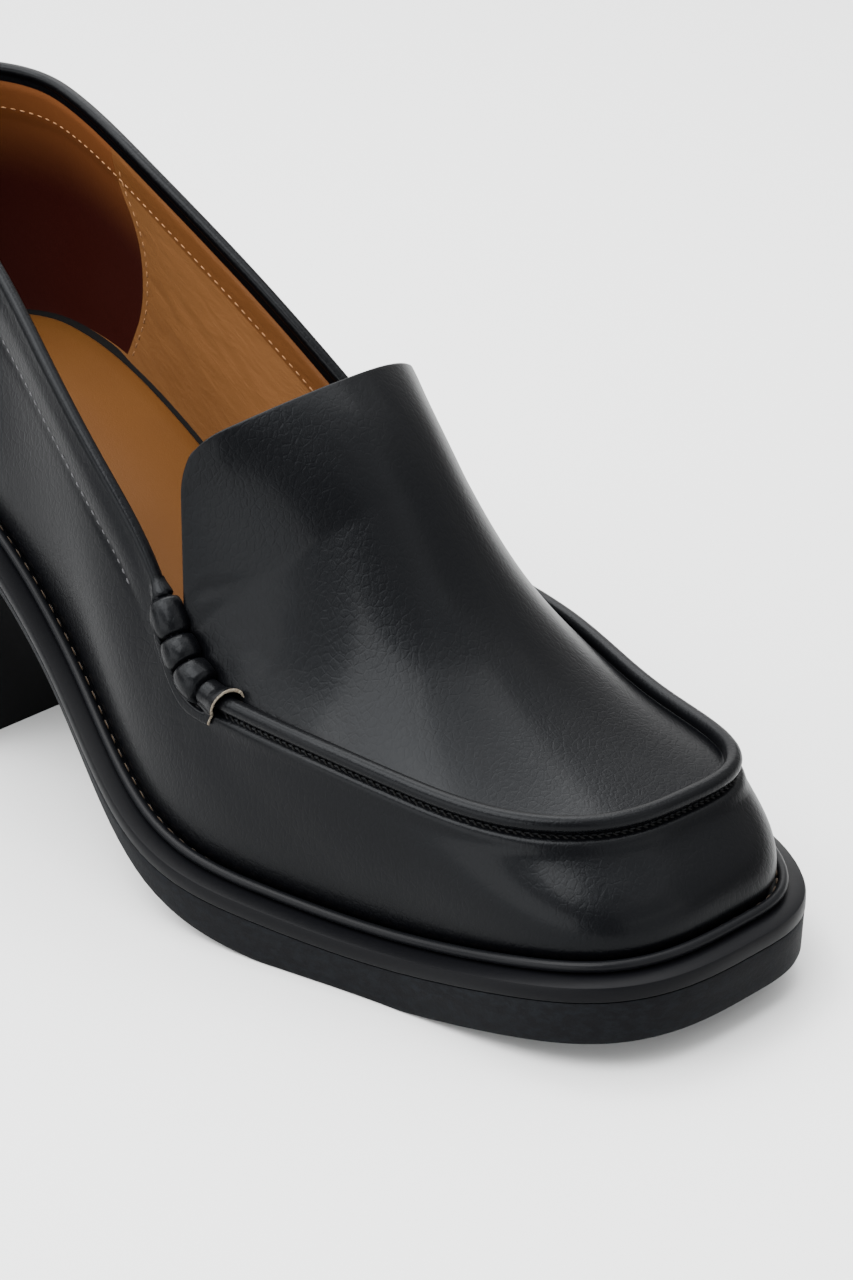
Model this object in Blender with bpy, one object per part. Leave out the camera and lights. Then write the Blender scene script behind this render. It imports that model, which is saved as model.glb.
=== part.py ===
"""Loafer pump with a block heel: the right shoe, standing empty on its sole.

The toe points to -Y and the wearer's right, the lateral side, to -X. Shoemaker's tables
are in millimetres: a station is a distance forward of the heel's back, and a width is
measured from the shoe's long axis. World points are in metres, with the floor at z = 0.
"""
import math

import bpy
import bmesh
import numpy as np

MM = 0.001
LENGTH = 240.0
GAP = 0.3
WALL = 1.8
APRON_WALL = 1.5
LATERAL = 1.0
MEDIAL = -1.0

# Outsole: the ledge, then a smooth upper band, a small step and a lower layer
LEDGE_WIDTH = 2.8
LEDGE_DROP = 0.35
LEDGE_ROUND = 0.6
BAND_DEPTH = 3.4
BAND_STEP = 0.3
LOWER_TAPER = 0.3
TREAD_ROUND = 0.5

# Welt bead and the foot of the upper, as distances in from the outsole's edge
BEAD_INSET = 4.15
BEAD_RADIUS = 1.0
FOOT_INSET = 6.6
CRACK_INSET = 6.0
CRACK_HEIGHT = 1.3
WALL_INSET = 5.4
WALL_HEIGHT = 2.9

INSOLE_INSET = 8.9
INSOLE_THICKNESS = 2.7

# Roll of leather along the collar and the apron seam
COLLAR_ROLL = 1.35
SEAM_ROLL = 1.65
ROLL_START = math.radians(-50)
COLLAR_ROLL_END = math.radians(225)
SEAM_ROLL_END = math.radians(205)
ROLL_CHANGE = (127.0, 140.0)

# Tongue: the free end of the apron
TONGUE_CORNER = {LATERAL: (130.0, 30.8, 88.3), MEDIAL: (131.5, -28.0, 87.2)}
TONGUE_PEAK = (143.5, 0.0, 96.7)
TONGUE_CORNER_CUT = 8.5

# Block heel
HEEL_INSET = 1.0
HEEL_BACK = (0.8, 7.0)
HEEL_BREAST = (57.5, 50.6)
HEEL_NARROWING = 0.10
BREAST_HOLLOW = 2.0

# Tied tab over the roll on each side
TAB_START = 126.5
TAB_END = 146.5
TAB_FLANGE_SHARES = (0.78, 0.85, 0.92, 0.985)
TAB_FRONT_TRIM = 0.72
TAB_LEATHER = 1.1
TAB_BARRELS = 3
TAB_SWELL = 1.0
TAB_OVER = math.radians(130)
TAB_ROLL_ROWS = 7
TAB_STEPS = 26


class Table:
    """A short table of sections with named columns, read as smooth curves over its first column."""

    def __init__(self, columns, rows):
        self.columns = columns.split()
        self.rows = np.array(rows, dtype=float)

    def at(self, column, where):
        """The natural cubic spline through one column."""
        x = self.rows[:, 0]
        y = self.rows[:, self.columns.index(column)]
        step = np.diff(x)
        system = np.eye(len(x))
        right = np.zeros(len(x))
        for i in range(1, len(x) - 1):
            system[i, i - 1:i + 2] = step[i - 1], 2 * (step[i - 1] + step[i]), step[i]
            right[i] = 6 * ((y[i + 1] - y[i]) / step[i] - (y[i] - y[i - 1]) / step[i - 1])
        bend = np.linalg.solve(system, right)
        where = np.clip(where, x[0], x[-1])
        i = np.clip(np.searchsorted(x, where) - 1, 0, len(step) - 1)
        ahead, behind, span = x[i + 1] - where, where - x[i], step[i]
        curve = (bend[i] * ahead ** 3 + bend[i + 1] * behind ** 3) / (6 * span)
        start = (y[i] / span - bend[i] * span / 6) * ahead
        return curve + start + (y[i + 1] / span - bend[i + 1] * span / 6) * behind


SOLE_PLAN = Table("station lateral medial", [
    (0, 30.0, 30.2), (30, 33.0, 33.2), (70, 36.7, 30.1), (100, 39.9, 30.7), (130, 47.5, 35.8),
    (160, 45.3, 43.4), (190, 40.0, 43.9), (215, 38.3, 35.0), (240, 37.5, 25.2)])

SOLE_HEIGHT = Table("station top", [
    (0, 72.5), (45, 70.2), (80, 54.7), (110, 29.7), (135, 15.9), (160, 12.0), (190, 11.7),
    (215, 15.8), (240, 18.2)])

SOLE_THICKNESS = Table("station depth", [
    (0, 6.6), (50, 6.6), (95, 6.8), (125, 9.1), (150, 11.6), (160, 12.0), (190, 11.8),
    (215, 12.0), (240, 12.1)])

# The collar's edge behind the tabs, and the apron seam ahead of them
EDGE_PLAN = Table("station lateral medial height", [
    (0, 22.0, 23.0, 128.8), (30, 24.9, 25.7, 125.0), (60, 22.6, 24.0, 115.0), (90, 28.7, 26.6, 95.8),
    (110, 32.3, 30.0, 79.1), (125, 34.0, 33.6, 63.4), (137, 37.4, 36.0, 49.8), (150, 38.0, 35.4, 45.8),
    (170, 36.1, 32.0, 44.0), (195, 31.1, 25.7, 40.3), (223, 25.9, 24.1, 38.9)])

# How far the wall's curve leans out of its foot and of its top edge, and for what share of its height
WALL_SHAPE = Table("station low_out low_up high_out high_down", [
    (0, 3.5, 0.35, 4.0, 0.35), (35, 3.0, 0.35, 3.5, 0.35), (75, 1.5, 0.35, 2.0, 0.35),
    (110, 1.0, 0.35, 1.5, 0.32), (140, 1.8, 0.35, 2.3, 0.30), (180, 1.8, 0.38, 2.3, 0.30),
    (215, 1.0, 0.40, 1.5, 0.30), (240, 0.8, 0.40, 1.8, 0.28)])

# The apron's middle line, from the tongue's peak down to the seam at the toe
APRON_CREST = Table("share station height", [
    (0.0, 143.5, 96.7), (0.15, 152.0, 89.8), (0.25, 158.0, 83.2), (0.37, 165.8, 73.2), (0.5, 175.2, 61.9),
    (0.7, 191.7, 49.3), (0.85, 206.8, 42.9), (1.0, 221.4, 38.3)])

SOLE_FORM = dict(plan=SOLE_PLAN, start=0.0, end=LENGTH, heel_round=34.0, heel_power=2.35,
                 toe_round=45.2, toe_power=3.1, slant=-0.042, ramp=70.0, split=138.0)
EDGE_FORM = dict(plan=EDGE_PLAN, start=7.0, end=222.9, heel_round=27.0, heel_power=2.1,
                 toe_round=34.7, toe_power=3.04, slant=-0.088, ramp=60.0, split=133.5)

# Steps round one half of the shoe, from the heel's back to the toe's tip
STEPS = dict(heel=8, quarter=12, vamp=8, corner=5, toe=7)
TONGUE_STEPS = 6
WALL_ROWS = 7
ROLL_ROWS = 6
LINING_ROWS = 6
FINE = 160


def smooth_share(where, start, end):
    """0 before start, 1 after end, and a smooth change between."""
    share = np.clip((where - start) / (end - start), 0, 1)
    return share * share * (3 - 2 * share)


def walk(line, steps):
    """Points at even steps along a finely drawn line."""
    lengths = np.linalg.norm(np.diff(line, axis=0), axis=1)
    run = np.concatenate([[0.0], np.cumsum(lengths)])
    stops = np.linspace(0, run[-1], steps + 1)
    return np.stack([np.interp(stops, run, column) for column in line.T], axis=1)


def half_outline(form, side, steps):
    """One side of an outline from the heel's back to the toe's tip, as (station, width)."""
    heel_angle = np.linspace(0, math.pi / 2, FINE)
    toe_angle = np.linspace(math.pi / 2, 0, FINE)
    heel_end = form["start"] + form["heel_round"]
    toe_start = form["end"] - form["toe_round"]

    heel_share = np.sin(heel_angle) ** (2 / form["heel_power"])
    heel_station = heel_end - form["heel_round"] * np.cos(heel_angle) ** (2 / form["heel_power"])
    toe_share = np.sin(toe_angle) ** (2 / form["toe_power"])
    toe_station = toe_start + form["toe_round"] * np.cos(toe_angle) ** (2 / form["toe_power"])
    middle = FINE // 2
    stretches = [
        (heel_station, heel_share, steps["heel"]),
        (np.linspace(heel_end, form["split"], FINE), np.ones(FINE), steps["quarter"]),
        (np.linspace(form["split"], toe_start, FINE), np.ones(FINE), steps["vamp"]),
        (toe_station[:middle], toe_share[:middle], steps["corner"]),
        (toe_station[middle - 1:], toe_share[middle - 1:], steps["toe"])]
    line = np.zeros((1, 2))
    for station, share, count in stretches:
        stretch = np.stack([station, share * form["plan"].at(side, station)], axis=1)
        line = np.vstack([line[:-1], walk(stretch, count)])
    line[[0, -1], 1] = 0.0
    return line


def outline(form, steps=STEPS):
    """The closed outline: lateral side first, then back along the medial side."""
    lateral = half_outline(form, "lateral", steps)
    medial = half_outline(form, "medial", steps) * (1, -1)
    ring = np.vstack([lateral, medial[-2:0:-1]])
    ramp = np.clip((ring[:, 0] - form["end"] + form["ramp"]) / form["ramp"], 0, 1)
    ring[:, 0] += form["slant"] * ring[:, 1] * ramp ** 1.5
    return ring


def outward(ring):
    """Unit normals in plan, pointing out of a closed outline."""
    along = np.roll(ring, -1, axis=0) - np.roll(ring, 1, axis=0)
    normal = np.stack([-along[:, 1], along[:, 0]], axis=1)
    return normal / np.linalg.norm(normal, axis=1)[:, None]


def sole_top(station):
    return SOLE_HEIGHT.at("top", station)


def sole_bottom(station):
    """The underside, with a flat tread on the floor under the ball of the foot."""
    return np.maximum(sole_top(station) - SOLE_THICKNESS.at("depth", station), 0.0)


def lift(plan, height):
    """Plan points with a height: (station, width, height)."""
    return np.column_stack([plan, np.broadcast_to(height, len(plan))])


SOLE_RING = outline(SOLE_FORM)
MIDDLE = (SOLE_RING[:, 1].max() + SOLE_RING[:, 1].min()) / 2
MIDWAY = (SOLE_RING[:, 0].max() + SOLE_RING[:, 0].min()) / 2


def to_world(points):
    """Shoe millimetres to world metres, with the origin under the middle of the sole."""
    points = np.asarray(points, dtype=float)
    return np.column_stack([MIDDLE - points[:, 1], MIDWAY - points[:, 0], points[:, 2]]) * MM


class Shell:
    """A mesh put together from rows of points."""

    def __init__(self):
        self.points = []
        self.faces = []

    def row(self, points):
        """Adds points and gives their numbers."""
        first = len(self.points)
        self.points.extend(map(tuple, points))
        return np.arange(first, first + len(points))

    def bridge(self, one, two, closed=True):
        """Quads between two rows of the same length."""
        last = len(one) if closed else len(one) - 1
        for i in range(last):
            j = (i + 1) % len(one)
            self.faces.append((one[i], one[j], two[j], two[i]))

    def rings(self, rows):
        """Closed rows bridged one after another, giving the first and the last."""
        numbers = [self.row(points) for points in rows]
        for one, two in zip(numbers, numbers[1:]):
            self.bridge(one, two)
        return numbers[0], numbers[-1]

    def lid(self, ring):
        """Closes a ring straight across, from each lateral point to its medial partner."""
        half = len(ring) // 2
        lateral = ring[1:half]
        medial = ring[:half:-1]
        self.faces.append((ring[0], lateral[0], medial[0]))
        self.bridge(lateral, medial, closed=False)
        self.faces.append((ring[half], medial[-1], lateral[-1]))

    def build(self, name, material, sharp_angle=35):
        """One smooth-shaded object with its faces pointing out."""
        mesh = bpy.data.meshes.new(name)
        corners = [tuple(int(number) for number in face) for face in self.faces]
        mesh.from_pydata(to_world(self.points).tolist(), [], corners)
        edit = bmesh.new()
        edit.from_mesh(mesh)
        bmesh.ops.recalc_face_normals(edit, faces=edit.faces)
        edit.to_mesh(mesh)
        edit.free()
        mesh.shade_smooth()
        mesh.set_sharp_from_angle(angle=math.radians(sharp_angle))
        mesh.materials.append(material)
        thing = bpy.data.objects.new(name, mesh)
        bpy.context.scene.collection.objects.link(thing)
        return thing


def finish(name, color, roughness, coat=0.0):
    material = bpy.data.materials.new(name)
    material.use_nodes = True
    shader = material.node_tree.nodes["Principled BSDF"]
    shader.inputs["Base Color"].default_value = (*color, 1.0)
    shader.inputs["Roughness"].default_value = roughness
    shader.inputs["Coat Weight"].default_value = coat
    return material


def make_outsole(material):
    """Ledge, band, step and lower layer, over an arched and sprung underside."""
    normal = outward(SOLE_RING)
    shell = Shell()
    rows = []
    # inset from the edge, depth below the top, and share of the lower layer's own depth
    profile = [
        (LEDGE_WIDTH, 0.0, 0.0),
        (LEDGE_ROUND, LEDGE_DROP, 0.0),
        (0.0, LEDGE_DROP + LEDGE_ROUND, 0.0),
        (0.0, BAND_DEPTH, 0.0),
        (BAND_STEP, BAND_DEPTH, 0.0),
        (BAND_STEP + LOWER_TAPER / 2, BAND_DEPTH, 0.5),
        (BAND_STEP + LOWER_TAPER, BAND_DEPTH, 1.0)]
    for inset, depth, share in profile:
        ring = SOLE_RING - inset * normal
        top = sole_top(SOLE_RING[:, 0])
        layer = top - BAND_DEPTH - TREAD_ROUND - sole_bottom(SOLE_RING[:, 0])
        rows.append(lift(ring, top - depth - share * layer))
    tread = SOLE_RING - (BAND_STEP + LOWER_TAPER + TREAD_ROUND) * normal
    rows.append(lift(tread, sole_bottom(SOLE_RING[:, 0])))
    first, last = shell.rings(rows)
    shell.lid(first)
    shell.lid(last)
    return shell.build("outsole", material)


def make_welt(material):
    """The round bead that lies on the ledge round the upper's foot."""
    normal = outward(SOLE_RING)
    seat = sole_top(SOLE_RING[:, 0]) + GAP
    shell = Shell()
    rows = []
    for angle in np.radians([-90, -18, 54, 126, 198]):
        ring = SOLE_RING - (BEAD_INSET - BEAD_RADIUS * math.cos(angle)) * normal
        rows.append(lift(ring, seat + BEAD_RADIUS * (1 + math.sin(angle))))
    first, last = shell.rings(rows)
    shell.bridge(last, first)
    return shell.build("welt", material)


def make_insole(material):
    """A thin board and sock inside the upper's foot, lying on the sole."""
    ring = SOLE_RING - INSOLE_INSET * outward(SOLE_RING)
    seat = sole_top(SOLE_RING[:, 0]) + GAP
    shell = Shell()
    first, last = shell.rings([lift(ring, seat), lift(ring, seat + INSOLE_THICKNESS)])
    shell.lid(first)
    shell.lid(last)
    return shell.build("insole", material)


def heel_level(share):
    """The heel's outline at a share of the way down: round the back, then along the breast."""
    plan = SOLE_RING - HEEL_INSET * outward(SOLE_RING)
    back = HEEL_BACK[0] + (HEEL_BACK[1] - HEEL_BACK[0]) * share
    breast = HEEL_BREAST[0] + (HEEL_BREAST[1] - HEEL_BREAST[0]) * share
    half = len(plan) // 2
    lateral = plan[:half]
    medial = np.vstack([plan[:1], plan[:half:-1]])
    sides = []
    for line in (lateral, medial):
        stops = np.linspace(0, 1, 15) ** 1.3
        run = np.concatenate([[0.0], np.cumsum(np.linalg.norm(np.diff(line, axis=0), axis=1))])
        end = np.interp(HEEL_BREAST[0], line[:, 0], run)
        sides.append(np.stack([np.interp(stops * end, run, column) for column in line.T], axis=1))
    ring = np.vstack([sides[0], sides[1][:0:-1]])
    narrow = 1 - HEEL_NARROWING * share
    along = (ring[:, 0] - HEEL_INSET) / (HEEL_BREAST[0] - HEEL_INSET)
    return np.column_stack([back + (breast - back) * along, ring[:, 1] * narrow])


def make_heel(material):
    """A block heel that tapers a little down to its flat tread, with a slightly hollow breast."""
    shell = Shell()
    rows = []
    for share in np.linspace(0, 1, 7):
        plan = heel_level(share)
        seat = sole_bottom(plan[:, 0]) - GAP
        hollow = BREAST_HOLLOW * math.sin(math.pi * share)
        forward = smooth_share(plan[:, 0], 30.0, 57.0)
        plan[:, 0] -= hollow * forward
        rows.append(lift(plan, seat * (1 - share)))
    first, last = shell.rings(rows)
    half = len(first) // 2
    for ring in (first, last):
        lateral = ring[1:half + 1]
        medial = ring[:half:-1]
        shell.faces.append((ring[0], lateral[0], medial[0]))
        shell.bridge(lateral, medial, closed=False)
    return shell.build("heel", material)


def roll_frame(edge):
    """Outward and upward directions square to the roll's own line."""
    out = lift(outward(edge[:, :2]), 0.0)
    along = np.roll(edge, -1, axis=0) - np.roll(edge, 1, axis=0)
    up = np.cross(along, out)
    up *= np.sign(up[:, 2:])
    return out, up / np.linalg.norm(up, axis=1)[:, None]


class UpperForm:
    """The upper's wall and roll, a column for each point of the sole's outline."""

    def __init__(self):
        self.half = len(SOLE_RING) // 2
        self.root = STEPS["heel"] + STEPS["quarter"]
        self.corner = self.root + STEPS["vamp"] + STEPS["corner"]
        self.out_of_sole = outward(SOLE_RING)
        plan = outline(EDGE_FORM)
        self.edge = lift(plan, EDGE_PLAN.at("height", plan[:, 0]))
        self.out, self.up = roll_frame(self.edge)
        self.change = smooth_share(plan[:, 0], *ROLL_CHANGE)[:, None]
        self.radius = COLLAR_ROLL + (SEAM_ROLL - COLLAR_ROLL) * self.change
        self.roll_end = COLLAR_ROLL_END + (SEAM_ROLL_END - COLLAR_ROLL_END) * self.change

    def on_roll(self, angle, clear=0.0):
        """Points round the roll: an angle of 0 faces outward and a quarter turn faces up."""
        ray = np.cos(angle) * self.out + np.sin(angle) * self.up
        return self.edge + (self.radius + clear) * ray

    def standing(self, inset, height):
        """Points above the sole, at a distance in from its edge."""
        return lift(SOLE_RING - inset * self.out_of_sole, sole_top(SOLE_RING[:, 0]) + height)

    def wall(self, foot, top, shares):
        """The wall's side curve from foot to top edge: a row of points for each share of the way."""
        shape = [WALL_SHAPE.at(name, SOLE_RING[:, 0])[:, None] for name in WALL_SHAPE.columns[1:]]
        low_out, low_up, high_out, high_down = shape
        height = np.linalg.norm(top - foot, axis=1)[:, None]
        out = lift(self.out_of_sole, 0.0)
        rise = np.array([0.0, 0.0, 1.0]) * height
        low = foot + out * low_out + rise * low_up
        high = top + out * high_out - rise * high_down
        return [foot * (1 - t) ** 3 + 3 * low * (1 - t) ** 2 * t + 3 * high * (1 - t) * t ** 2 + top * t ** 3
                for t in shares]

    def outer_wall(self, shares):
        return self.wall(self.standing(WALL_INSET, WALL_HEIGHT), self.on_roll(ROLL_START), shares)

    def inner_edge(self):
        """Where the inner face ends: below the roll's middle, a wall's thickness in."""
        return self.edge - self.out * (WALL / 2 + 0.7 * self.change) - self.up * (self.radius + 1.0)

    def inner_wall(self, shares):
        return self.wall(self.standing(WALL_INSET + WALL, WALL_HEIGHT + 1.0), self.inner_edge(), shares)

    def seam_columns(self, side):
        """Columns from the tongue's root to the corner of the toe."""
        columns = np.arange(self.root, self.corner + 1)
        return columns if side == LATERAL else len(SOLE_RING) - columns


def tongue_outline(root, side):
    """The tongue's free edge, in two lines that start at the middle of its rounded corner.

    One runs down its side to the root, and the other along its top to the shoe's middle.
    """
    corner = np.array(TONGUE_CORNER[side])
    share = np.linspace(0, 1, FINE)[:, None]
    arch = 1 - (1 - share) ** 2.2
    top = corner + (np.array(TONGUE_PEAK) - corner) * np.hstack([arch, share, arch])
    down = corner + (root - corner) * share
    top = top[np.linalg.norm(top - corner, axis=1) > TONGUE_CORNER_CUT]
    down = down[np.linalg.norm(down - corner, axis=1) > TONGUE_CORNER_CUT]
    cut = down[0] * (1 - share) ** 2 + 2 * corner * share * (1 - share) + top[0] * share ** 2
    middle = FINE // 2
    return np.vstack([cut[middle:0:-1], down]), np.vstack([cut[middle:-1], top])


def apron_patch(lateral, medial, top, toe):
    """A sheet arched from side to side over the crest line, and pulled to its two end edges."""
    middle = (lateral + medial) / 2
    lengths = np.linalg.norm(np.diff(middle, axis=0), axis=1)
    along = np.concatenate([[0.0], np.cumsum(lengths)]) / lengths.sum()
    crest = np.stack([APRON_CREST.at("station", along), middle[:, 1], APRON_CREST.at("height", along)], axis=1)
    u = along[:, None, None]
    v = np.linspace(0, 1, len(top))[None, :, None]
    sheet = (1 - v) * lateral[:, None] + v * medial[:, None]
    sheet = sheet + (crest - middle)[:, None] * (1 - np.abs(2 * v - 1) ** 2.3)
    return sheet + (top - sheet[0]) * (1 - u) ** 4 + (toe - sheet[-1]) * u ** 4


def sheet_normals(sheet, toward):
    """Unit normals of a grid of points, on the side that a direction points to."""
    normal = np.cross(np.gradient(sheet, axis=0), np.gradient(sheet, axis=1))
    normal /= np.linalg.norm(normal, axis=2)[:, :, None]
    return normal * np.sign((normal * toward).sum())


def lining_offsets(sheet, seams):
    """From each point of a sheet to its lining: square to it, and turning to meet the wall's lining.

    seams gives the offsets that the wall has along the lateral and the medial seam.
    """
    offset = -APRON_WALL * sheet_normals(sheet, (0.3, 0.0, 1.0))
    for turn in range(3):
        for column in (0, -1):
            offset[TONGUE_STEPS:, column] = seams[column]
            side = offset[:TONGUE_STEPS + 1, column]
            side[1:-1] = (side[:-2] + 2 * side[1:-1] + side[2:]) / 4
        beside = offset[1:-1, :-2] + offset[1:-1, 2:] + offset[:-2, 1:-1] + offset[2:, 1:-1]
        offset[1:-1, 1:-1] = (2 * offset[1:-1, 1:-1] + beside) / 6
    return offset


def make_upper(form, material):
    """One hollow leather solid: wall, roll, apron and tongue, open at the collar and underneath."""
    shell = Shell()
    rows = [form.standing(FOOT_INSET, GAP), form.standing(CRACK_INSET, CRACK_HEIGHT)]
    rows += form.outer_wall(np.linspace(0, 1, WALL_ROWS + 1))
    for step in range(1, ROLL_ROWS + 1):
        rows.append(form.on_roll(ROLL_START + (form.roll_end - ROLL_START) * step / ROLL_ROWS))
    foot_out, edge_out = shell.rings(rows)
    rows = [form.standing(FOOT_INSET + WALL, GAP)]
    rows += form.inner_wall(np.linspace(0, 1, LINING_ROWS + 1))
    foot_in, edge_in = shell.rings(rows)
    shell.bridge(foot_out, foot_in)

    sides = {}
    tops = {}
    for side in (LATERAL, MEDIAL):
        seam = np.array([shell.points[number] for number in edge_out[form.seam_columns(side)]])
        side_line, top_line = tongue_outline(seam[0], side)
        sides[side] = np.vstack([walk(side_line, TONGUE_STEPS)[:-1], seam])
        tops[side] = walk(top_line, STEPS["toe"])
    top = np.vstack([tops[LATERAL], tops[MEDIAL][-2::-1]])
    toe_columns = np.arange(form.corner, 2 * form.half - form.corner + 1)
    toe = np.array([shell.points[number] for number in edge_out[toe_columns]])
    sheet = apron_patch(sides[LATERAL], sides[MEDIAL], top, toe)
    ring_offset = np.array(shell.points)[edge_in] - np.array(shell.points)[edge_out]
    seams = {0: ring_offset[form.seam_columns(LATERAL)], -1: ring_offset[form.seam_columns(MEDIAL)]}
    under = sheet + lining_offsets(sheet, seams)

    def sheet_numbers(points, ring):
        """Numbers of a sheet's points, which shares its seam with a ring of the wall."""
        numbers = np.full(points.shape[:2], -1)
        numbers[TONGUE_STEPS:, 0] = ring[form.seam_columns(LATERAL)]
        numbers[TONGUE_STEPS:, -1] = ring[form.seam_columns(MEDIAL)]
        numbers[-1, :] = ring[toe_columns]
        free = numbers < 0
        numbers[free] = shell.row(points[free])
        for one, two in zip(numbers, numbers[1:]):
            shell.bridge(one, two, closed=False)
        return numbers

    def mouth(numbers, ring):
        """The mouth's loop: round the collar, up one side of the tongue, over its top and down."""
        collar = np.concatenate([ring[-form.root:], ring[:form.root]])
        return np.concatenate([collar, numbers[TONGUE_STEPS:0:-1, 0], numbers[0],
                               numbers[1:TONGUE_STEPS, -1]])

    outer = mouth(sheet_numbers(sheet, edge_out), edge_out)
    inner = mouth(sheet_numbers(under, edge_in), edge_in)
    shell.bridge(outer, inner)
    return shell.build("upper", material, sharp_angle=50)


def make_tab(name, side, form, material):
    """A strip of leather tied over the roll in three turns, with a flange on the wall."""
    columns = np.arange(form.half)
    if side == MEDIAL:
        columns = (len(SOLE_RING) - columns) % len(SOLE_RING)
    trim = 1 - TAB_FRONT_TRIM * smooth_share(form.edge[:, :1], TAB_START, TAB_END)
    rows = form.outer_wall([1 - (1 - share) * trim for share in TAB_FLANGE_SHARES])
    angles = np.linspace(ROLL_START + math.radians(25), TAB_OVER, TAB_ROLL_ROWS)
    rows += [form.on_roll(angle) for angle in angles]
    stations = np.linspace(TAB_START, TAB_END, TAB_STEPS + 1)

    def across(row):
        """A row of the upper's surface, read at the tab's own stations."""
        line = row[columns]
        place = form.edge[columns][:, 0]
        return np.stack([np.interp(stations, place, part) for part in line.T], axis=1)

    surface = np.stack([across(row) for row in rows], axis=1)
    normal = sheet_normals(surface, (0.0, side, 0.5))
    share = np.linspace(0, 1, TAB_STEPS + 1)
    turn = np.clip((share - 0.16) / 0.66, 0, 1)
    swell = TAB_SWELL * np.sqrt(np.abs(np.sin(math.pi * TAB_BARRELS * turn)))
    over_roll = np.arange(len(rows)) >= len(TAB_FLANGE_SHARES)
    thick = TAB_LEATHER + swell[:, None] * over_roll[None, :]
    inner = surface + normal * GAP * 1.3
    outer = inner + normal * thick[:, :, None]
    shell = Shell()
    loops = [shell.row(np.vstack([low, high[::-1]])) for low, high in zip(inner, outer)]
    for one, two in zip(loops, loops[1:]):
        shell.bridge(one, two)
    for ring in (loops[0], loops[-1]):
        shell.bridge(ring[:len(rows)], ring[:len(rows) - 1:-1], closed=False)
    return shell.build(name, material)


def make_shoe():
    leather = finish("upper_leather", (0.012, 0.012, 0.014), 0.28, coat=0.4)
    rubber = finish("sole_rubber", (0.016, 0.017, 0.020), 0.5)
    edge = finish("welt_edge", (0.014, 0.014, 0.016), 0.4)
    heel = finish("heel_block", (0.014, 0.014, 0.016), 0.4)
    sock = finish("insole_leather", (0.60, 0.36, 0.17), 0.55)
    tab = finish("tab_leather", (0.012, 0.012, 0.014), 0.3, coat=0.4)
    make_outsole(rubber)
    make_welt(edge)
    make_heel(heel)
    make_insole(sock)
    form = UpperForm()
    make_upper(form, leather)
    make_tab("tab_lateral", LATERAL, form, tab)
    make_tab("tab_medial", MEDIAL, form, tab)


def clear_scene():
    for thing in list(bpy.data.objects):
        bpy.data.objects.remove(thing, do_unlink=True)


clear_scene()
make_shoe()
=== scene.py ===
"""The looks of a loafer pump, the right shoe of a pair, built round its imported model."""
import math

import bmesh
import bpy
import numpy as np
from mathutils import Matrix, Vector


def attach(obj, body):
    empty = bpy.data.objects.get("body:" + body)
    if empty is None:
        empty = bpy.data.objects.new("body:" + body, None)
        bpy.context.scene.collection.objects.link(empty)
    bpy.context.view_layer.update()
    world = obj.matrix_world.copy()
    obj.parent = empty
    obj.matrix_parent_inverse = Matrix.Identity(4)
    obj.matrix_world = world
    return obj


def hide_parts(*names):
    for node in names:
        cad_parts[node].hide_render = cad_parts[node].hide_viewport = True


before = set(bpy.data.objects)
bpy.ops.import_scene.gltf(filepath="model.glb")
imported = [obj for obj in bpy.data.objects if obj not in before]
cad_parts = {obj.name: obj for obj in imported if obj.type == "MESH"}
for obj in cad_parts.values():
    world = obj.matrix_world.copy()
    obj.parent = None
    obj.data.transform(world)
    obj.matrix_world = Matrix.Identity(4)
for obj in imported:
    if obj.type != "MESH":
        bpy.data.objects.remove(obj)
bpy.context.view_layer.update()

# The outsole: one block of black rubber with a smooth upper band and a slightly coarser lower layer.
# It is moulded with its arch and toe spring, roughed on top and glued under the lasted upper.
# All shoe sizes are in millimetres: station forward of the heel's back, width from the long axis, height.
LENGTH = 240.0
MM = 0.001
STEPS = dict(heel=20, quarter=36, vamp=42, corner=14, toe=34)
FINE = 160
LEDGE_WIDTH = 2.8
LEDGE_DROP = 0.35
BAND_EDGE = 0.7
BAND_DEPTH = 3.4
BAND_GROOVE = 0.45
LOWER_INSET = 0.12
LOWER_TAPER = 0.4
TREAD_ROUND = 0.7
SOLE_TOP_INSET = 8.0
SLANT_POWER = 1.5
SHARP_EDGE = 40
RUBBER_BLACK = (0.0016, 0.0017, 0.0022)
RUBBER_DUSTY = (0.0032, 0.0039, 0.0049)


class Table:
    """A short table of sections with named columns, read as smooth curves over its first column."""

    def __init__(self, columns, rows):
        self.columns = columns.split()
        self.rows = np.array(rows, dtype=float)

    def at(self, column, where):
        """The natural cubic spline through one column."""
        x = self.rows[:, 0]
        y = self.rows[:, self.columns.index(column)]
        step = np.diff(x)
        system = np.eye(len(x))
        right = np.zeros(len(x))
        for i in range(1, len(x) - 1):
            system[i, i - 1:i + 2] = step[i - 1], 2 * (step[i - 1] + step[i]), step[i]
            right[i] = 6 * ((y[i + 1] - y[i]) / step[i] - (y[i] - y[i - 1]) / step[i - 1])
        bend = np.linalg.solve(system, right)
        where = np.clip(where, x[0], x[-1])
        i = np.clip(np.searchsorted(x, where) - 1, 0, len(step) - 1)
        ahead, behind, span = x[i + 1] - where, where - x[i], step[i]
        curve = (bend[i] * ahead ** 3 + bend[i + 1] * behind ** 3) / (6 * span)
        start = (y[i] / span - bend[i] * span / 6) * ahead
        return curve + start + (y[i + 1] / span - bend[i + 1] * span / 6) * behind


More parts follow.
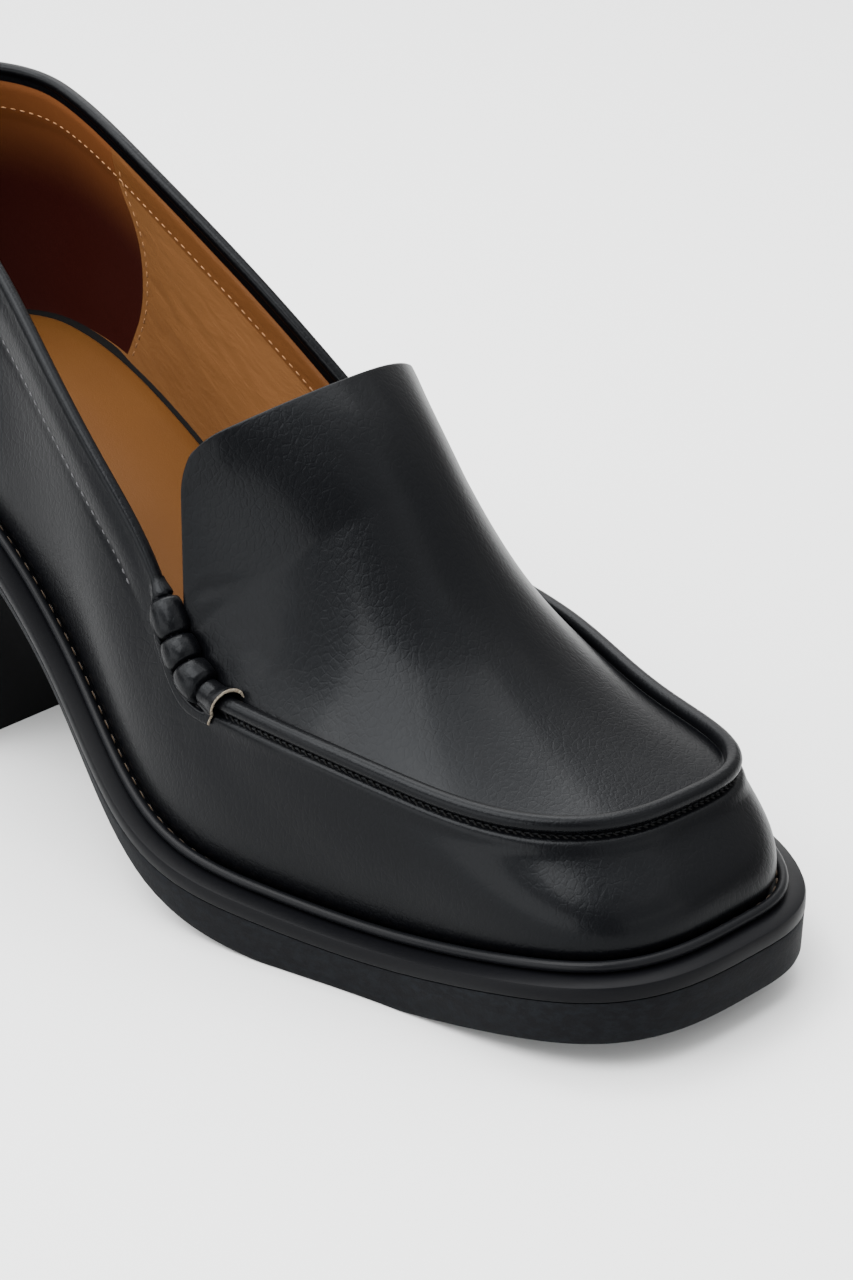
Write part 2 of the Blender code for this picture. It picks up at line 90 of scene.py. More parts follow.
SOLE_PLAN = Table("station lateral medial", [
    (0, 30.0, 30.2), (30, 33.0, 33.2), (70, 36.7, 30.1), (100, 39.9, 30.7), (130, 47.5, 35.8),
    (160, 45.3, 43.4), (190, 40.0, 43.9), (215, 38.3, 35.0), (240, 37.5, 25.2)])
SOLE_HEIGHT = Table("station top", [
    (0, 72.5), (45, 70.2), (80, 54.7), (110, 29.7), (135, 15.9), (160, 12.0), (190, 11.7),
    (215, 15.8), (240, 18.2)])
SOLE_THICKNESS = Table("station depth", [
    (0, 6.6), (50, 6.6), (95, 6.8), (125, 9.1), (150, 11.6), (160, 12.0), (190, 11.8),
    (215, 12.0), (240, 12.1)])
SOLE_FORM = dict(plan=SOLE_PLAN, start=0.0, end=LENGTH, heel_round=34.0, heel_power=2.35,
                 toe_round=45.2, toe_power=3.1, slant=-0.042, ramp=70.0, split=138.0)


def run_along(line):
    """The distance from a line's first point to each of its points."""
    return np.concatenate([[0.0], np.cumsum(np.linalg.norm(np.diff(line, axis=0), axis=1))])


def read_at(line, run, stops):
    """A line's points at given distances along it."""
    return np.stack([np.interp(stops, run, column) for column in line.T], axis=1)


def walk(line, steps):
    """Points at even steps along a finely drawn line."""
    run = run_along(line)
    return read_at(line, run, np.linspace(0, run[-1], steps + 1))


def half_outline(form, side):
    """One side of an outline from the heel's back to the toe's tip, as (station, width)."""
    heel_angle = np.linspace(0, math.pi / 2, FINE)
    toe_angle = np.linspace(math.pi / 2, 0, FINE)
    heel_end = form["start"] + form["heel_round"]
    toe_start = form["end"] - form["toe_round"]
    heel_share = np.sin(heel_angle) ** (2 / form["heel_power"])
    heel_station = heel_end - form["heel_round"] * np.cos(heel_angle) ** (2 / form["heel_power"])
    toe_share = np.sin(toe_angle) ** (2 / form["toe_power"])
    toe_station = toe_start + form["toe_round"] * np.cos(toe_angle) ** (2 / form["toe_power"])
    middle = FINE // 2
    stretches = [
        (heel_station, heel_share, STEPS["heel"]),
        (np.linspace(heel_end, form["split"], FINE), np.ones(FINE), STEPS["quarter"]),
        (np.linspace(form["split"], toe_start, FINE), np.ones(FINE), STEPS["vamp"]),
        (toe_station[:middle], toe_share[:middle], STEPS["corner"]),
        (toe_station[middle - 1:], toe_share[middle - 1:], STEPS["toe"])]
    line = np.zeros((1, 2))
    for station, share, count in stretches:
        stretch = np.stack([station, share * form["plan"].at(side, station)], axis=1)
        line = np.vstack([line[:-1], walk(stretch, count)])
    line[[0, -1], 1] = 0.0
    return line


def outline(form):
    """The closed outline: lateral side first, then back along the medial side."""
    lateral = half_outline(form, "lateral")
    medial = half_outline(form, "medial") * (1, -1)
    ring = np.vstack([lateral, medial[-2:0:-1]])
    ramp = np.clip((ring[:, 0] - form["end"] + form["ramp"]) / form["ramp"], 0, 1)
    ring[:, 0] += form["slant"] * ring[:, 1] * ramp ** SLANT_POWER
    return ring


def outward(ring):
    """Unit normals in plan, pointing out of a closed outline."""
    along = np.roll(ring, -1, axis=0) - np.roll(ring, 1, axis=0)
    normal = np.stack([-along[:, 1], along[:, 0]], axis=1)
    return normal / np.linalg.norm(normal, axis=1)[:, None]


def sole_top(station):
    return SOLE_HEIGHT.at("top", station)


def sole_bottom(station):
    return np.maximum(sole_top(station) - SOLE_THICKNESS.at("depth", station), 0.0)


def lift(plan, height):
    """Plan points with a height: (station, width, height)."""
    return np.column_stack([plan, np.broadcast_to(height, len(plan))])


SOLE_RING = outline(SOLE_FORM)
SOLE_OUT = outward(SOLE_RING)
SEAT = sole_top(SOLE_RING[:, 0])
MIDDLE = (SOLE_RING[:, 1].max() + SOLE_RING[:, 1].min()) / 2
MIDWAY = (SOLE_RING[:, 0].max() + SOLE_RING[:, 0].min()) / 2


def to_world(points):
    """Shoe millimetres to the frame's metres, with the origin under the middle of the sole."""
    points = np.asarray(points, dtype=float)
    return np.column_stack([MIDDLE - points[:, 1], MIDWAY - points[:, 0], points[:, 2]]) * MM


def sole_row(inset, height):
    """Points round the sole, a distance in from its edge and a height over its top."""
    return lift(SOLE_RING - inset * SOLE_OUT, SEAT + height)


class Skin:
    """A piece's mesh, put together from rows of points in shoe millimetres."""

    def __init__(self):
        self.points = []
        self.faces = []

    def row(self, points):
        """Adds points and gives their numbers."""
        first = len(self.points)
        self.points.extend(map(tuple, points))
        return np.arange(first, first + len(points))

    def bridge(self, one, two, closed=True):
        """Quads between two rows of the same length."""
        last = len(one) if closed else len(one) - 1
        for i in range(last):
            j = (i + 1) % len(one)
            self.faces.append((one[i], one[j], two[j], two[i]))

    def rings(self, rows, closed=True):
        """Rows bridged one after another, giving their numbers."""
        numbers = [self.row(points) for points in rows]
        for one, two in zip(numbers, numbers[1:]):
            self.bridge(one, two, closed)
        return numbers

    def lid(self, ring):
        """Closes a ring straight across, from each lateral point to its medial partner."""
        half = len(ring) // 2
        lateral = ring[1:half]
        medial = ring[:half:-1]
        self.faces.append((ring[0], lateral[0], medial[0]))
        self.bridge(lateral, medial, closed=False)
        self.faces.append((ring[half], medial[-1], lateral[-1]))

    def piece(self, name, finish, rounds=0, sharp=None, marks=None):
        """The smooth-shaded object, with named numbers on its points for its material to read."""
        mesh = bpy.data.meshes.new(name)
        corners = [tuple(int(number) for number in face) for face in self.faces]
        mesh.from_pydata(to_world(self.points).tolist(), [], corners)
        for mark, values in (marks or {}).items():
            mesh.attributes.new(mark, "FLOAT", "POINT").data.foreach_set("value", np.ravel(values))
        edit = bmesh.new()
        edit.from_mesh(mesh)
        bmesh.ops.recalc_face_normals(edit, faces=edit.faces)
        edit.to_mesh(mesh)
        edit.free()
        mesh.shade_smooth()
        if sharp:
            mesh.set_sharp_from_angle(angle=math.radians(sharp))
        mesh.materials.append(finish.material)
        thing = bpy.data.objects.new(name, mesh)
        bpy.context.scene.collection.objects.link(thing)
        if rounds:
            thing.modifiers.new("smoothing", "SUBSURF").levels = rounds
            thing.modifiers["smoothing"].render_levels = rounds
        return thing


class Signal:
    """A shader socket that takes part in Python sums: each sum adds its Math node."""

    def __init__(self, finish, socket):
        self.finish = finish
        self.socket = socket

    def math(self, operation, *values):
        return self.finish.node("ShaderNodeMath", dict(operation=operation), *values)

    def __add__(self, other):
        return self.math("ADD", self, other)

    def __rsub__(self, other):
        return self.math("SUBTRACT", other, self)

    def __mul__(self, other):
        return self.math("MULTIPLY", self, other)

    __radd__ = __add__
    __rmul__ = __mul__


class Finish:
    """A material, with the nodes that change it over the surface."""

    def __init__(self, name, **steady):
        self.material = bpy.data.materials.new(name)
        self.material.use_nodes = True
        self.tree = self.material.node_tree
        self.shader = self.tree.nodes["Principled BSDF"]
        for socket, value in steady.items():
            self.shader.inputs[socket.replace("_", " ")].default_value = value

    def node(self, kind, settings, *values, output=0, **named):
        """One node: its settings are set first, and then its sockets get their values or links."""
        node = self.tree.nodes.new(kind)
        for name, value in settings.items():
            setattr(node, name, value)
        sockets = [(node.inputs[i], value) for i, value in enumerate(values)]
        sockets += [(node.inputs[name.replace("_", " ")], value) for name, value in named.items()]
        for socket, value in sockets:
            if isinstance(value, Signal):
                self.tree.links.new(value.socket, socket)
            elif value is not None:
                socket.default_value = value
        return Signal(self, node.outputs[output])

    def place(self):
        """The point on the piece, in metres."""
        return self.node("ShaderNodeTexCoord", {}, output="Object")

    def stretched(self, place, by):
        return self.node("ShaderNodeVectorMath", dict(operation="MULTIPLY"), place, by)

    def cloud(self, place, size, detail=3.0, roughness=0.55, distortion=0.0):
        """Soft noise from 0 to 1, with blots of a given size in metres."""
        return self.node("ShaderNodeTexNoise", {}, Vector=place, Scale=1 / size, Detail=detail,
                         Roughness=roughness, Distortion=distortion)

    def cells(self, place, size):
        """The distance to the nearest border between cells of a given size in metres."""
        return self.node("ShaderNodeTexVoronoi", dict(feature="DISTANCE_TO_EDGE"),
                         Vector=place, Scale=1 / size)

    def mark(self, name):
        """A number that the mesh carries on its points."""
        return self.node("ShaderNodeAttribute", dict(attribute_name=name), output="Fac")

    def step(self, value, low, high, start=0.0, end=1.0):
        """A smooth change from start to end while the value goes from low to high."""
        return self.node("ShaderNodeMapRange", dict(interpolation_type="SMOOTHSTEP"),
                         value, low, high, start, end)

    def blend(self, share, one, two):
        """A colour between two."""
        colors = [color if isinstance(color, Signal) else (*color, 1.0) for color in (one, two)]
        return self.node("ShaderNodeMix", dict(data_type="RGBA"), share, None, None, None, None, None,
                         *colors, output=2)

    def paint(self, socket, signal):
        self.tree.links.new(signal.socket, self.shader.inputs[socket])

    def tint(self, share, one, two):
        """Colours the piece between two colours."""
        self.paint("Base Color", self.blend(share, one, two))

    def relief(self, height):
        """Bumps the surface by a height in metres."""
        bump = self.node("ShaderNodeBump", {}, Strength=1.0, Distance=1.0, Height=height)
        self.paint("Normal", bump)


def dress(piece, slot, *nodes):
    """A piece rides with the shoe and takes the place of its solids."""
    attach(piece, "root")
    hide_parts(*nodes)


rubber = Finish("outsole_rubber", Specular_IOR_Level=0.050)
spot = rubber.place()
layer = rubber.mark("lower_layer")
dust = rubber.cloud(rubber.stretched(spot, (1.0, 1.0, 1.8)), 0.0022, detail=6.0, roughness=0.75)
grit = rubber.cloud(spot, 0.0007, detail=3.0)
scuff = rubber.step(dust, 0.42, 0.66) * layer
rubber.tint(scuff, RUBBER_BLACK, RUBBER_DUSTY)
rubber.paint("Roughness", 0.36 + 0.2 * layer + 0.12 * dust)
rubber.relief((dust * 0.10 + grit * 0.045) * (0.12 + layer) * MM)

outsole = Skin()
layer_marks = []
outsole_rows = []
lower_depth = SEAT - BAND_DEPTH - TREAD_ROUND - sole_bottom(SOLE_RING[:, 0])
# inset from the edge, depth below the top, share of the lower layer's own depth, and its mark
for inset, depth, share, mark in [
        (SOLE_TOP_INSET, 0.0, 0.0, 0.0),
        (LEDGE_WIDTH, 0.0, 0.0, 0.0),
        (BAND_EDGE, LEDGE_DROP, 0.0, 0.0),
        (BAND_EDGE * 0.3, LEDGE_DROP + BAND_EDGE * 0.3, 0.0, 0.0),
        (0.0, LEDGE_DROP + BAND_EDGE, 0.0, 0.0),
        (0.0, BAND_DEPTH - 0.3, 0.0, 0.0),
        (0.1, BAND_DEPTH - 0.1, 0.0, 0.0),
        (BAND_GROOVE, BAND_DEPTH, 0.0, 0.0),
        (BAND_GROOVE, BAND_DEPTH + 0.15, 0.0, 0.6),
        (LOWER_INSET + 0.1, BAND_DEPTH + 0.2, 0.0, 1.0),
        (LOWER_INSET, BAND_DEPTH + 0.4, 0.0, 1.0),
        (LOWER_INSET + LOWER_TAPER * 0.4, BAND_DEPTH, 0.4, 1.0),
        (LOWER_INSET + LOWER_TAPER * 0.8, BAND_DEPTH, 0.8, 1.0),
        (LOWER_INSET + LOWER_TAPER, BAND_DEPTH, 1.0, 1.0),
        (LOWER_INSET + LOWER_TAPER + TREAD_ROUND * 0.3, BAND_DEPTH + TREAD_ROUND * 0.7, 1.0, 1.0),
        (LOWER_INSET + LOWER_TAPER + TREAD_ROUND, BAND_DEPTH + TREAD_ROUND, 1.0, 1.0)]:
    outsole_rows.append(sole_row(inset, -depth - share * lower_depth))
    layer_marks += [mark] * len(SOLE_RING)
outsole_rings = outsole.rings(outsole_rows)
outsole.lid(outsole_rings[0])
outsole.lid(outsole_rings[-1])
outsole_block = outsole.piece("outsole_block", rubber, sharp=SHARP_EDGE, marks={"lower_layer": layer_marks})
dress(outsole_block, "sole_rubber", "outsole")

# The heel: a hollow moulded block under the seat, covered smooth and lacquered black.
# It is screwed and glued from inside, and its breast is a little hollow.
HEEL_INSET = 1.0
HEEL_BACK = (0.8, 7.0)
HEEL_BREAST = (57.5, 50.6)
HEEL_NARROWING = 0.10
BREAST_HOLLOW = 2.0
HEEL_ROWS = 24
HEEL_STEPS = 40
HEEL_CROWDING = 1.3
HOLLOW_REACH = (30.0, 57.0)
SEAT_GAP = 0.3
HEEL_BLACK = (0.0011, 0.0012, 0.0014)
HEEL_WORN = (0.0018, 0.0019, 0.0023)

lacquer = Finish("heel_lacquer", Specular_IOR_Level=0.050, Coat_Weight=0.024, Coat_Roughness=0.25)
wear = lacquer.cloud(lacquer.place(), 0.012, detail=5.0)
lacquer.tint(wear, HEEL_BLACK, HEEL_WORN)
lacquer.paint("Roughness", 0.34 + 0.14 * wear)
lacquer.relief(lacquer.cloud(lacquer.place(), 0.0012) * 0.02 * MM)


def smooth_share(where, start, end):
    """0 before start, 1 after end, and a smooth change between."""
    share = np.clip((where - start) / (end - start), 0, 1)
    return share * share * (3 - 2 * share)


def between(pair, share):
    """A value on the way from the first of a pair to the second."""
    return pair[0] + (pair[1] - pair[0]) * share


def heel_level(share):
    """The heel's outline at a share of the way down: round the back, then along the breast."""
    plan = SOLE_RING - HEEL_INSET * SOLE_OUT
    back = between(HEEL_BACK, share)
    breast = between(HEEL_BREAST, share)
    half = len(plan) // 2
    sides = []
    for line in (plan[:half], np.vstack([plan[:1], plan[:half:-1]])):
        run = run_along(line)
        end = np.interp(HEEL_BREAST[0], line[:, 0], run)
        sides.append(read_at(line, run, np.linspace(0, 1, HEEL_STEPS) ** HEEL_CROWDING * end))
    ring = np.vstack([sides[0], sides[1][:0:-1]])
    along = (ring[:, 0] - HEEL_INSET) / (HEEL_BREAST[0] - HEEL_INSET)
    return np.column_stack([back + (breast - back) * along, ring[:, 1] * (1 - HEEL_NARROWING * share)])


heel = Skin()
heel_rows = []
for share in np.linspace(0, 1, HEEL_ROWS):
    plan = heel_level(share)
    seat = sole_bottom(plan[:, 0]) - SEAT_GAP
    plan[:, 0] -= BREAST_HOLLOW * math.sin(math.pi * share) * smooth_share(plan[:, 0], *HOLLOW_REACH)
    heel_rows.append(lift(plan, seat * (1 - share)))
heel_rings = heel.rings(heel_rows)
heel_half = len(heel_rings[0]) // 2
for ring in (heel_rings[0], heel_rings[-1]):
    heel.faces.append((ring[0], ring[1], ring[-1]))
    heel.bridge(ring[1:heel_half + 1], ring[:heel_half:-1], closed=False)
dress(heel.piece("heel_block", lacquer, sharp=SHARP_EDGE), "heel_block", "heel")

# The welt: a narrow round bead of waxed black leather that lies on the ledge round the upper's foot.
# Short brown stitches hold it down and show here and there in the crack behind it.
BEAD_INSET = 4.15
BEAD_RADIUS = 1.0
BEAD_SIDES = 14
WELT_STITCH = dict(pitch=3.3, length=1.9, radius=0.28)
WELT_STITCH_INSET = 5.2
WELT_STITCH_HEIGHT = 1.35
WELT_STITCH_FACING = (0.6, 0.8)
WAX_BLACK = (0.0016, 0.0018, 0.0023)
WAX_WORN = (0.0034, 0.0036, 0.0043)
THREAD_BROWN = (0.050, 0.033, 0.019)
THREAD_SHEEN = 0.1
STITCH_SIDES = 7
STITCH_SHARES = (-1.0, -0.82, -0.4, 0.0, 0.4, 0.82, 1.0)
STITCH_TIP = 0.04
STITCH_SAG = 0.8

wax = Finish("waxed_edge", Specular_IOR_Level=0.050, Coat_Weight=0.028, Coat_Roughness=0.2)
smear = wax.cloud(wax.place(), 0.006, detail=4.0)
wax.tint(smear, WAX_BLACK, WAX_WORN)
wax.paint("Roughness", 0.32 + 0.16 * smear)
wax.relief(wax.cloud(wax.place(), 0.0009) * 0.03 * MM)

welt = Skin()
welt_rows = []
for angle in np.linspace(0, 2 * math.pi, BEAD_SIDES, endpoint=False):
    height = SEAT_GAP + BEAD_RADIUS * (1 + math.sin(angle))
    welt_rows.append(sole_row(BEAD_INSET - BEAD_RADIUS * math.cos(angle), height))
welt_rings = welt.rings(welt_rows)
welt.bridge(welt_rings[-1], welt_rings[0])
dress(welt.piece("welt_bead", wax), "welt_edge", "welt")


def thread(name, color, sheen):
    """Twisted sewing thread."""
    finish = Finish(name, Sheen_Weight=sheen, Specular_IOR_Level=0.1)
    twist = finish.cloud(finish.place(), 0.0004, detail=2.0)
    finish.tint(twist, color, tuple(0.55 * part for part in color))
    finish.paint("Roughness", 0.6 + 0.2 * twist)
    finish.relief(twist * 0.05 * MM)
    return finish


def sew(name, finish, rows, pitch, length, radius, lean=0.0):
    """Stitches along lines on a surface: each is a short rounded bar, turned by lean from its line.

    rows is a list of lines, each of them points and the surface's normals there.
    """
    stitches = Skin()
    around = np.linspace(0, 2 * math.pi, STITCH_SIDES, endpoint=False)
    for points, normals in rows:
        run = run_along(points)
        count = int(run[-1] // pitch)
        for number in range(count):
            middle = (number + 0.5) * run[-1] / count
            spot, ahead, normal = (read_at(line, run, [stop])[0] for line, stop in (
                (points, middle), (points, min(middle + 0.3, run[-1])), (normals, middle)))
            along = ahead - spot
            along /= np.linalg.norm(along)
            normal = normal / np.linalg.norm(normal)
            side = np.cross(normal, along)
            axis = math.cos(lean) * along + math.sin(lean) * side
            across = np.cross(normal, axis)
            loops = []
            for share in STITCH_SHARES:
                thick = radius * math.sqrt(max(1 - share ** 4, STITCH_TIP))
                sag = -STITCH_SAG * radius * share ** 4
                ring = np.outer(np.cos(around), across) + np.outer(np.sin(around), normal)
                loops.append(spot + axis * length / 2 * share + normal * sag + ring * thick)
            stitches.rings(loops)
    return stitches.piece(name, finish)


crack = (sole_row(WELT_STITCH_INSET, WELT_STITCH_HEIGHT),
         lift(SOLE_OUT * WELT_STITCH_FACING[0], WELT_STITCH_FACING[1]))
brown_thread = thread("brown_thread", THREAD_BROWN, THREAD_SHEEN)
dress(sew("welt_stitches", brown_thread, [crack], **WELT_STITCH), "welt_edge", "welt")

# The insole: a board with a tan leather sock glued on it, inside the foot of the upper.
# A matte black strip fills the gap between the sock and the lining as painted shade: it stands in for the
# shadow in that gap and shows as a dark line.
INSOLE_INSET = 8.9
INSOLE_THICKNESS = 2.7
SOCK_ROUND = 0.7
SOCK_FLAT_INSET = 4.0
SOCK_DISH_INSET = 12.0
SOCK_DISH = 0.15
SOCK_TAN = (0.079, 0.031, 0.0062)
SOCK_WORN = (0.068, 0.025, 0.0048)
GAP_SHADE_BLACK = (0.0015, 0.0014, 0.0014)
GAP_SHADE_GREY = (0.0040, 0.0036, 0.0034)
# distance beyond the insole's edge, and height over the sole
GAP_SHADE_PROFILE = [(0.1, 1.2), (0.1, 2.2), (0.9, 2.5), (1.6, 3.6), (2.1, 4.7), (2.5, 4.7), (2.5, 1.2)]

sock = Finish("sock_leather", Specular_IOR_Level=0.10)
spot = sock.place()
blots = sock.cloud(spot, 0.018, detail=4.0)
pores = sock.cells(spot, 0.0008)
sock.tint(blots, SOCK_TAN, SOCK_WORN)
sock.paint("Roughness", 0.50 + 0.14 * blots)
sock.relief((sock.step(pores, 0.0, 0.12) * 0.012 + sock.cloud(spot, 0.003) * 0.03) * MM)

insole = Skin()
insole_rings = insole.rings([
    sole_row(INSOLE_INSET, SEAT_GAP),
    sole_row(INSOLE_INSET, INSOLE_THICKNESS + SEAT_GAP - SOCK_ROUND),
    sole_row(INSOLE_INSET + SOCK_ROUND * 0.3, INSOLE_THICKNESS + SEAT_GAP - SOCK_ROUND * 0.3),
    sole_row(INSOLE_INSET + SOCK_ROUND, INSOLE_THICKNESS + SEAT_GAP),
    sole_row(INSOLE_INSET + SOCK_FLAT_INSET, INSOLE_THICKNESS + SEAT_GAP),
    sole_row(INSOLE_INSET + SOCK_DISH_INSET, INSOLE_THICKNESS + SEAT_GAP - SOCK_DISH)])
insole.lid(insole_rings[0])
insole.lid(insole_rings[-1])
dress(insole.piece("insole_sock", sock), "insole_leather", "insole")

# Painted shade: near black with faint grey noise, for the shadow in the gap beside the insole.
gap_shade = Finish("painted_gap_shade", Specular_IOR_Level=0.1)
gap_shade_noise = gap_shade.cloud(gap_shade.place(), 0.0006)
gap_shade.tint(gap_shade_noise, GAP_SHADE_BLACK, GAP_SHADE_GREY)
gap_shade.paint("Roughness", 0.85 + 0.1 * gap_shade_noise)
gap_shade.relief(gap_shade_noise * 0.05 * MM)

strip = Skin()
strip_rings = strip.rings([sole_row(INSOLE_INSET - beyond, height) for beyond, height in GAP_SHADE_PROFILE])
strip.bridge(strip_rings[-1], strip_rings[0])
dress(strip.piece("insole_gap_shade_strip", gap_shade), "welt_edge", "insole")

# The upper: black box calf about 1.8 mm thick with its lining, lasted over the insole and glued down.
# Its collar is a narrow roll with a padded facing sewn below it, and its apron is joined to the
# wall by a raised roll. The apron's free end stands up as the tongue.
LATERAL = 1.0
MEDIAL = -1.0
WALL = 1.8
APRON_WALL = 1.5
FOOT_INSET = 6.6
CRACK_INSET = 6.0
CRACK_HEIGHT = 1.3
WALL_INSET = 5.4
WALL_HEIGHT = 2.9
# the roll's radius, and the angles where its round starts and ends: at the collar and at the seam
ROLL_RADII = (1.35, 1.65)
ROLL_STARTS = (math.radians(5), math.radians(-50))
ROLL_ENDS = (math.radians(225), math.radians(205))
ROLL_CHANGE = (127.0, 140.0)
TONGUE_CORNER = {LATERAL: (130.0, 30.8, 88.3), MEDIAL: (131.5, -28.0, 87.2)}
TONGUE_PEAK = (143.5, -1.0, 97.2)
TONGUE_CORNER_CUT = 8.5
TONGUE_STEPS = 24
WALL_ROWS = 26
ROLL_ROWS = 14
EDGE_ROWS = 4
WALL_CROWDING = 1.7
FACING_DEPTH = 9.2
COLLAR_END = (118.0, 127.0)
VAMP_START = (140.0, 147.0)
INNER_EDGE_SHIFT = 0.7
INNER_EDGE_DROP = 1.0
LINING_FOOT_HEIGHT = 3.9
CREASE_FADE = 0.75
RIDGE_HEIGHT = 0.4
RIDGE_PLACE = 1.8
TONGUE_ARCH = 2.2
APRON_ARCH = 2.3
APRON_PULL = 4
APRON_FACING = (0.3, 0.0, 1.0)
OFFSET_ROUNDS = 10
MOUTH_AHEAD = (165.0, 0.0, 60.0)
MOUTH_ROUNDING = 0.45
# height over the wall, depth below the edge, and width
FACING_PAD = (0.35, 4.2, 3.0)
FACING_GROOVE = (-0.40, FACING_DEPTH, 0.6)
SEAM_GROOVE = (-0.95, 0.45, 0.55)
SEAM_PAD = (0.28, 2.3, 1.2)
CALF_BLACK = (0.0010, 0.0011, 0.0015)
CALF_DEEP = (0.0007, 0.0007, 0.0009)

EDGE_PLAN = Table("station lateral medial height", [
    (0, 22.0, 23.0, 130.6), (30, 24.9, 25.7, 126.8), (60, 22.6, 24.0, 115.4), (90, 28.7, 26.6, 95.8),
    (110, 32.3, 30.0, 79.1), (125, 34.0, 33.6, 63.4), (137, 37.4, 36.0, 49.8), (150, 38.0, 35.4, 45.8),
    (170, 36.1, 32.0, 44.0), (195, 31.1, 25.7, 40.3), (223, 25.9, 24.1, 38.9)])
WALL_SHAPE = Table("station low_out low_up high_out high_down", [
    (0, 3.5, 0.35, 4.0, 0.35), (35, 3.0, 0.35, 3.5, 0.35), (75, 1.5, 0.35, 2.0, 0.35),
    (110, 1.0, 0.35, 1.5, 0.32), (140, 1.8, 0.35, 2.3, 0.30), (180, 1.8, 0.38, 2.3, 0.30),
    (215, 1.0, 0.40, 1.5, 0.30), (240, 0.8, 0.40, 1.8, 0.28)])
APRON_CREST = Table("share station height", [
    (0.0, 143.5, 96.7), (0.15, 152.0, 89.8), (0.25, 158.0, 83.2), (0.37, 165.8, 73.2), (0.5, 175.2, 61.9),
    (0.7, 191.7, 49.3), (0.85, 206.8, 42.9), (1.0, 221.4, 38.3)])
EDGE_FORM = dict(plan=EDGE_PLAN, start=7.0, end=222.9, heel_round=27.0, heel_power=2.1,
                 toe_round=34.7, toe_power=3.04, slant=-0.088, ramp=60.0, split=133.5)

# Creases: where each starts and ends on the surface, with its width and depth
APRON_CREASES = [
    ((135.2, 32.9, 62.5), (143.5, 28.2, 65.5), 0.8, 0.30),
    ((137.0, 33.3, 59.5), (147.5, 28.0, 62.0), 0.7, 0.34),
    ((139.5, 33.4, 57.0), (151.0, 28.6, 58.5), 0.7, 0.32),
    ((142.0, 33.8, 55.0), (154.5, 29.5, 55.5), 0.6, 0.26),
    ((146.0, 34.2, 52.2), (158.0, 31.0, 52.5), 0.6, 0.20),
    ((135.2, -32.9, 62.5), (144.0, -27.0, 65.5), 0.8, 0.30),
    ((138.0, -33.3, 58.0), (149.0, -27.5, 60.0), 0.8, 0.32),
    ((142.0, -33.0, 54.5), (154.0, -27.5, 55.5), 0.7, 0.26)]
WALL_CREASES = [
    ((148.0, 41.5, 38.0), (172.0, 42.0, 24.0), 5.0, 0.25),
    ((150.0, -40.0, 36.0), (175.0, -39.5, 24.0), 5.0, 0.25)]

calf = Finish("black_box_calf", Specular_IOR_Level=0.055, Coat_Weight=0.037, Coat_Roughness=0.16,
              Specular_Tint=(0.90, 0.95, 1.0, 1.0))
spot = calf.place()
drift = calf.cloud(spot, 0.006, detail=2.0)
strayed = calf.node("ShaderNodeVectorMath", dict(operation="MULTIPLY_ADD"),
                    drift, (0.0012, 0.0012, 0.0012), spot)
wrinkle = calf.step(calf.cells(calf.stretched(strayed, (1.0, 1.0, 0.7)), 0.00135), 0.0, 0.16)
crinkle = calf.cloud(calf.stretched(strayed, (1.0, 1.0, 0.55)), 0.0008, detail=4.0, roughness=0.6)
swell = calf.cloud(spot, 0.011, detail=2.0)
pull = calf.cloud(spot, 0.030, detail=2.0)
calf.tint(pull, CALF_BLACK, CALF_DEEP)
calf.paint("Roughness", 0.27 + 0.08 * pull + 0.05 * crinkle)
calf.relief((wrinkle * 0.016 + crinkle * 0.060 + swell * 0.11) * MM)


def bell(where, middle, width):
    """A soft hump of height 1."""
    return np.exp(-((where - middle) / width) ** 2)


def roll_frame(edge):
    """Outward and upward directions square to the roll's own line."""
    out = lift(outward(edge[:, :2]), 0.0)
    along = np.roll(edge, -1, axis=0) - np.roll(edge, 1, axis=0)
    up = np.cross(along, out)
    up *= np.sign(up[:, 2:])
    return out, up / np.linalg.norm(up, axis=1)[:, None]


HALF = len(SOLE_RING) // 2
ROOT = STEPS["heel"] + STEPS["quarter"]
CORNER = ROOT + STEPS["vamp"] + STEPS["corner"]
EDGE_RING = outline(EDGE_FORM)
EDGE = lift(EDGE_RING, EDGE_PLAN.at("height", EDGE_RING[:, 0]))
EDGE_OUT, EDGE_UP = roll_frame(EDGE)
CHANGE = smooth_share(EDGE_RING[:, 0], *ROLL_CHANGE)[:, None]
ROLL_RADIUS = between(ROLL_RADII, CHANGE)
ROLL_END = between(ROLL_ENDS, CHANGE)
ROLL_FOOT = between(ROLL_STARTS, CHANGE)


def on_roll(angle):
    """Points round the roll: an angle of 0 faces outward and a quarter turn faces up."""
    return EDGE + ROLL_RADIUS * (np.cos(angle) * EDGE_OUT + np.sin(angle) * EDGE_UP)


def wall(foot, top, shares):
    """The wall's side curve from foot to top edge: a row of points for each share of the way."""
    shape = [WALL_SHAPE.at(name, SOLE_RING[:, 0])[:, None] for name in WALL_SHAPE.columns[1:]]
    low_out, low_up, high_out, high_down = shape
    rise = np.array([0.0, 0.0, 1.0]) * np.linalg.norm(top - foot, axis=1)[:, None]
    out = lift(SOLE_OUT, 0.0)
    low = foot + out * low_out + rise * low_up
    high = top + out * high_out - rise * high_down
    return [foot * (1 - t) ** 3 + 3 * low * (1 - t) ** 2 * t + 3 * high * (1 - t) * t ** 2 + top * t ** 3
            for t in shares]


def outer_wall(shares):
    return wall(sole_row(WALL_INSET, WALL_HEIGHT), on_roll(ROLL_FOOT), shares)


INNER_EDGE = EDGE - EDGE_OUT * (WALL / 2 + INNER_EDGE_SHIFT * CHANGE)
INNER_EDGE = INNER_EDGE - EDGE_UP * (ROLL_RADIUS + INNER_EDGE_DROP)


def inner_wall(shares):
    return wall(sole_row(WALL_INSET + WALL, LINING_FOOT_HEIGHT), INNER_EDGE, shares)


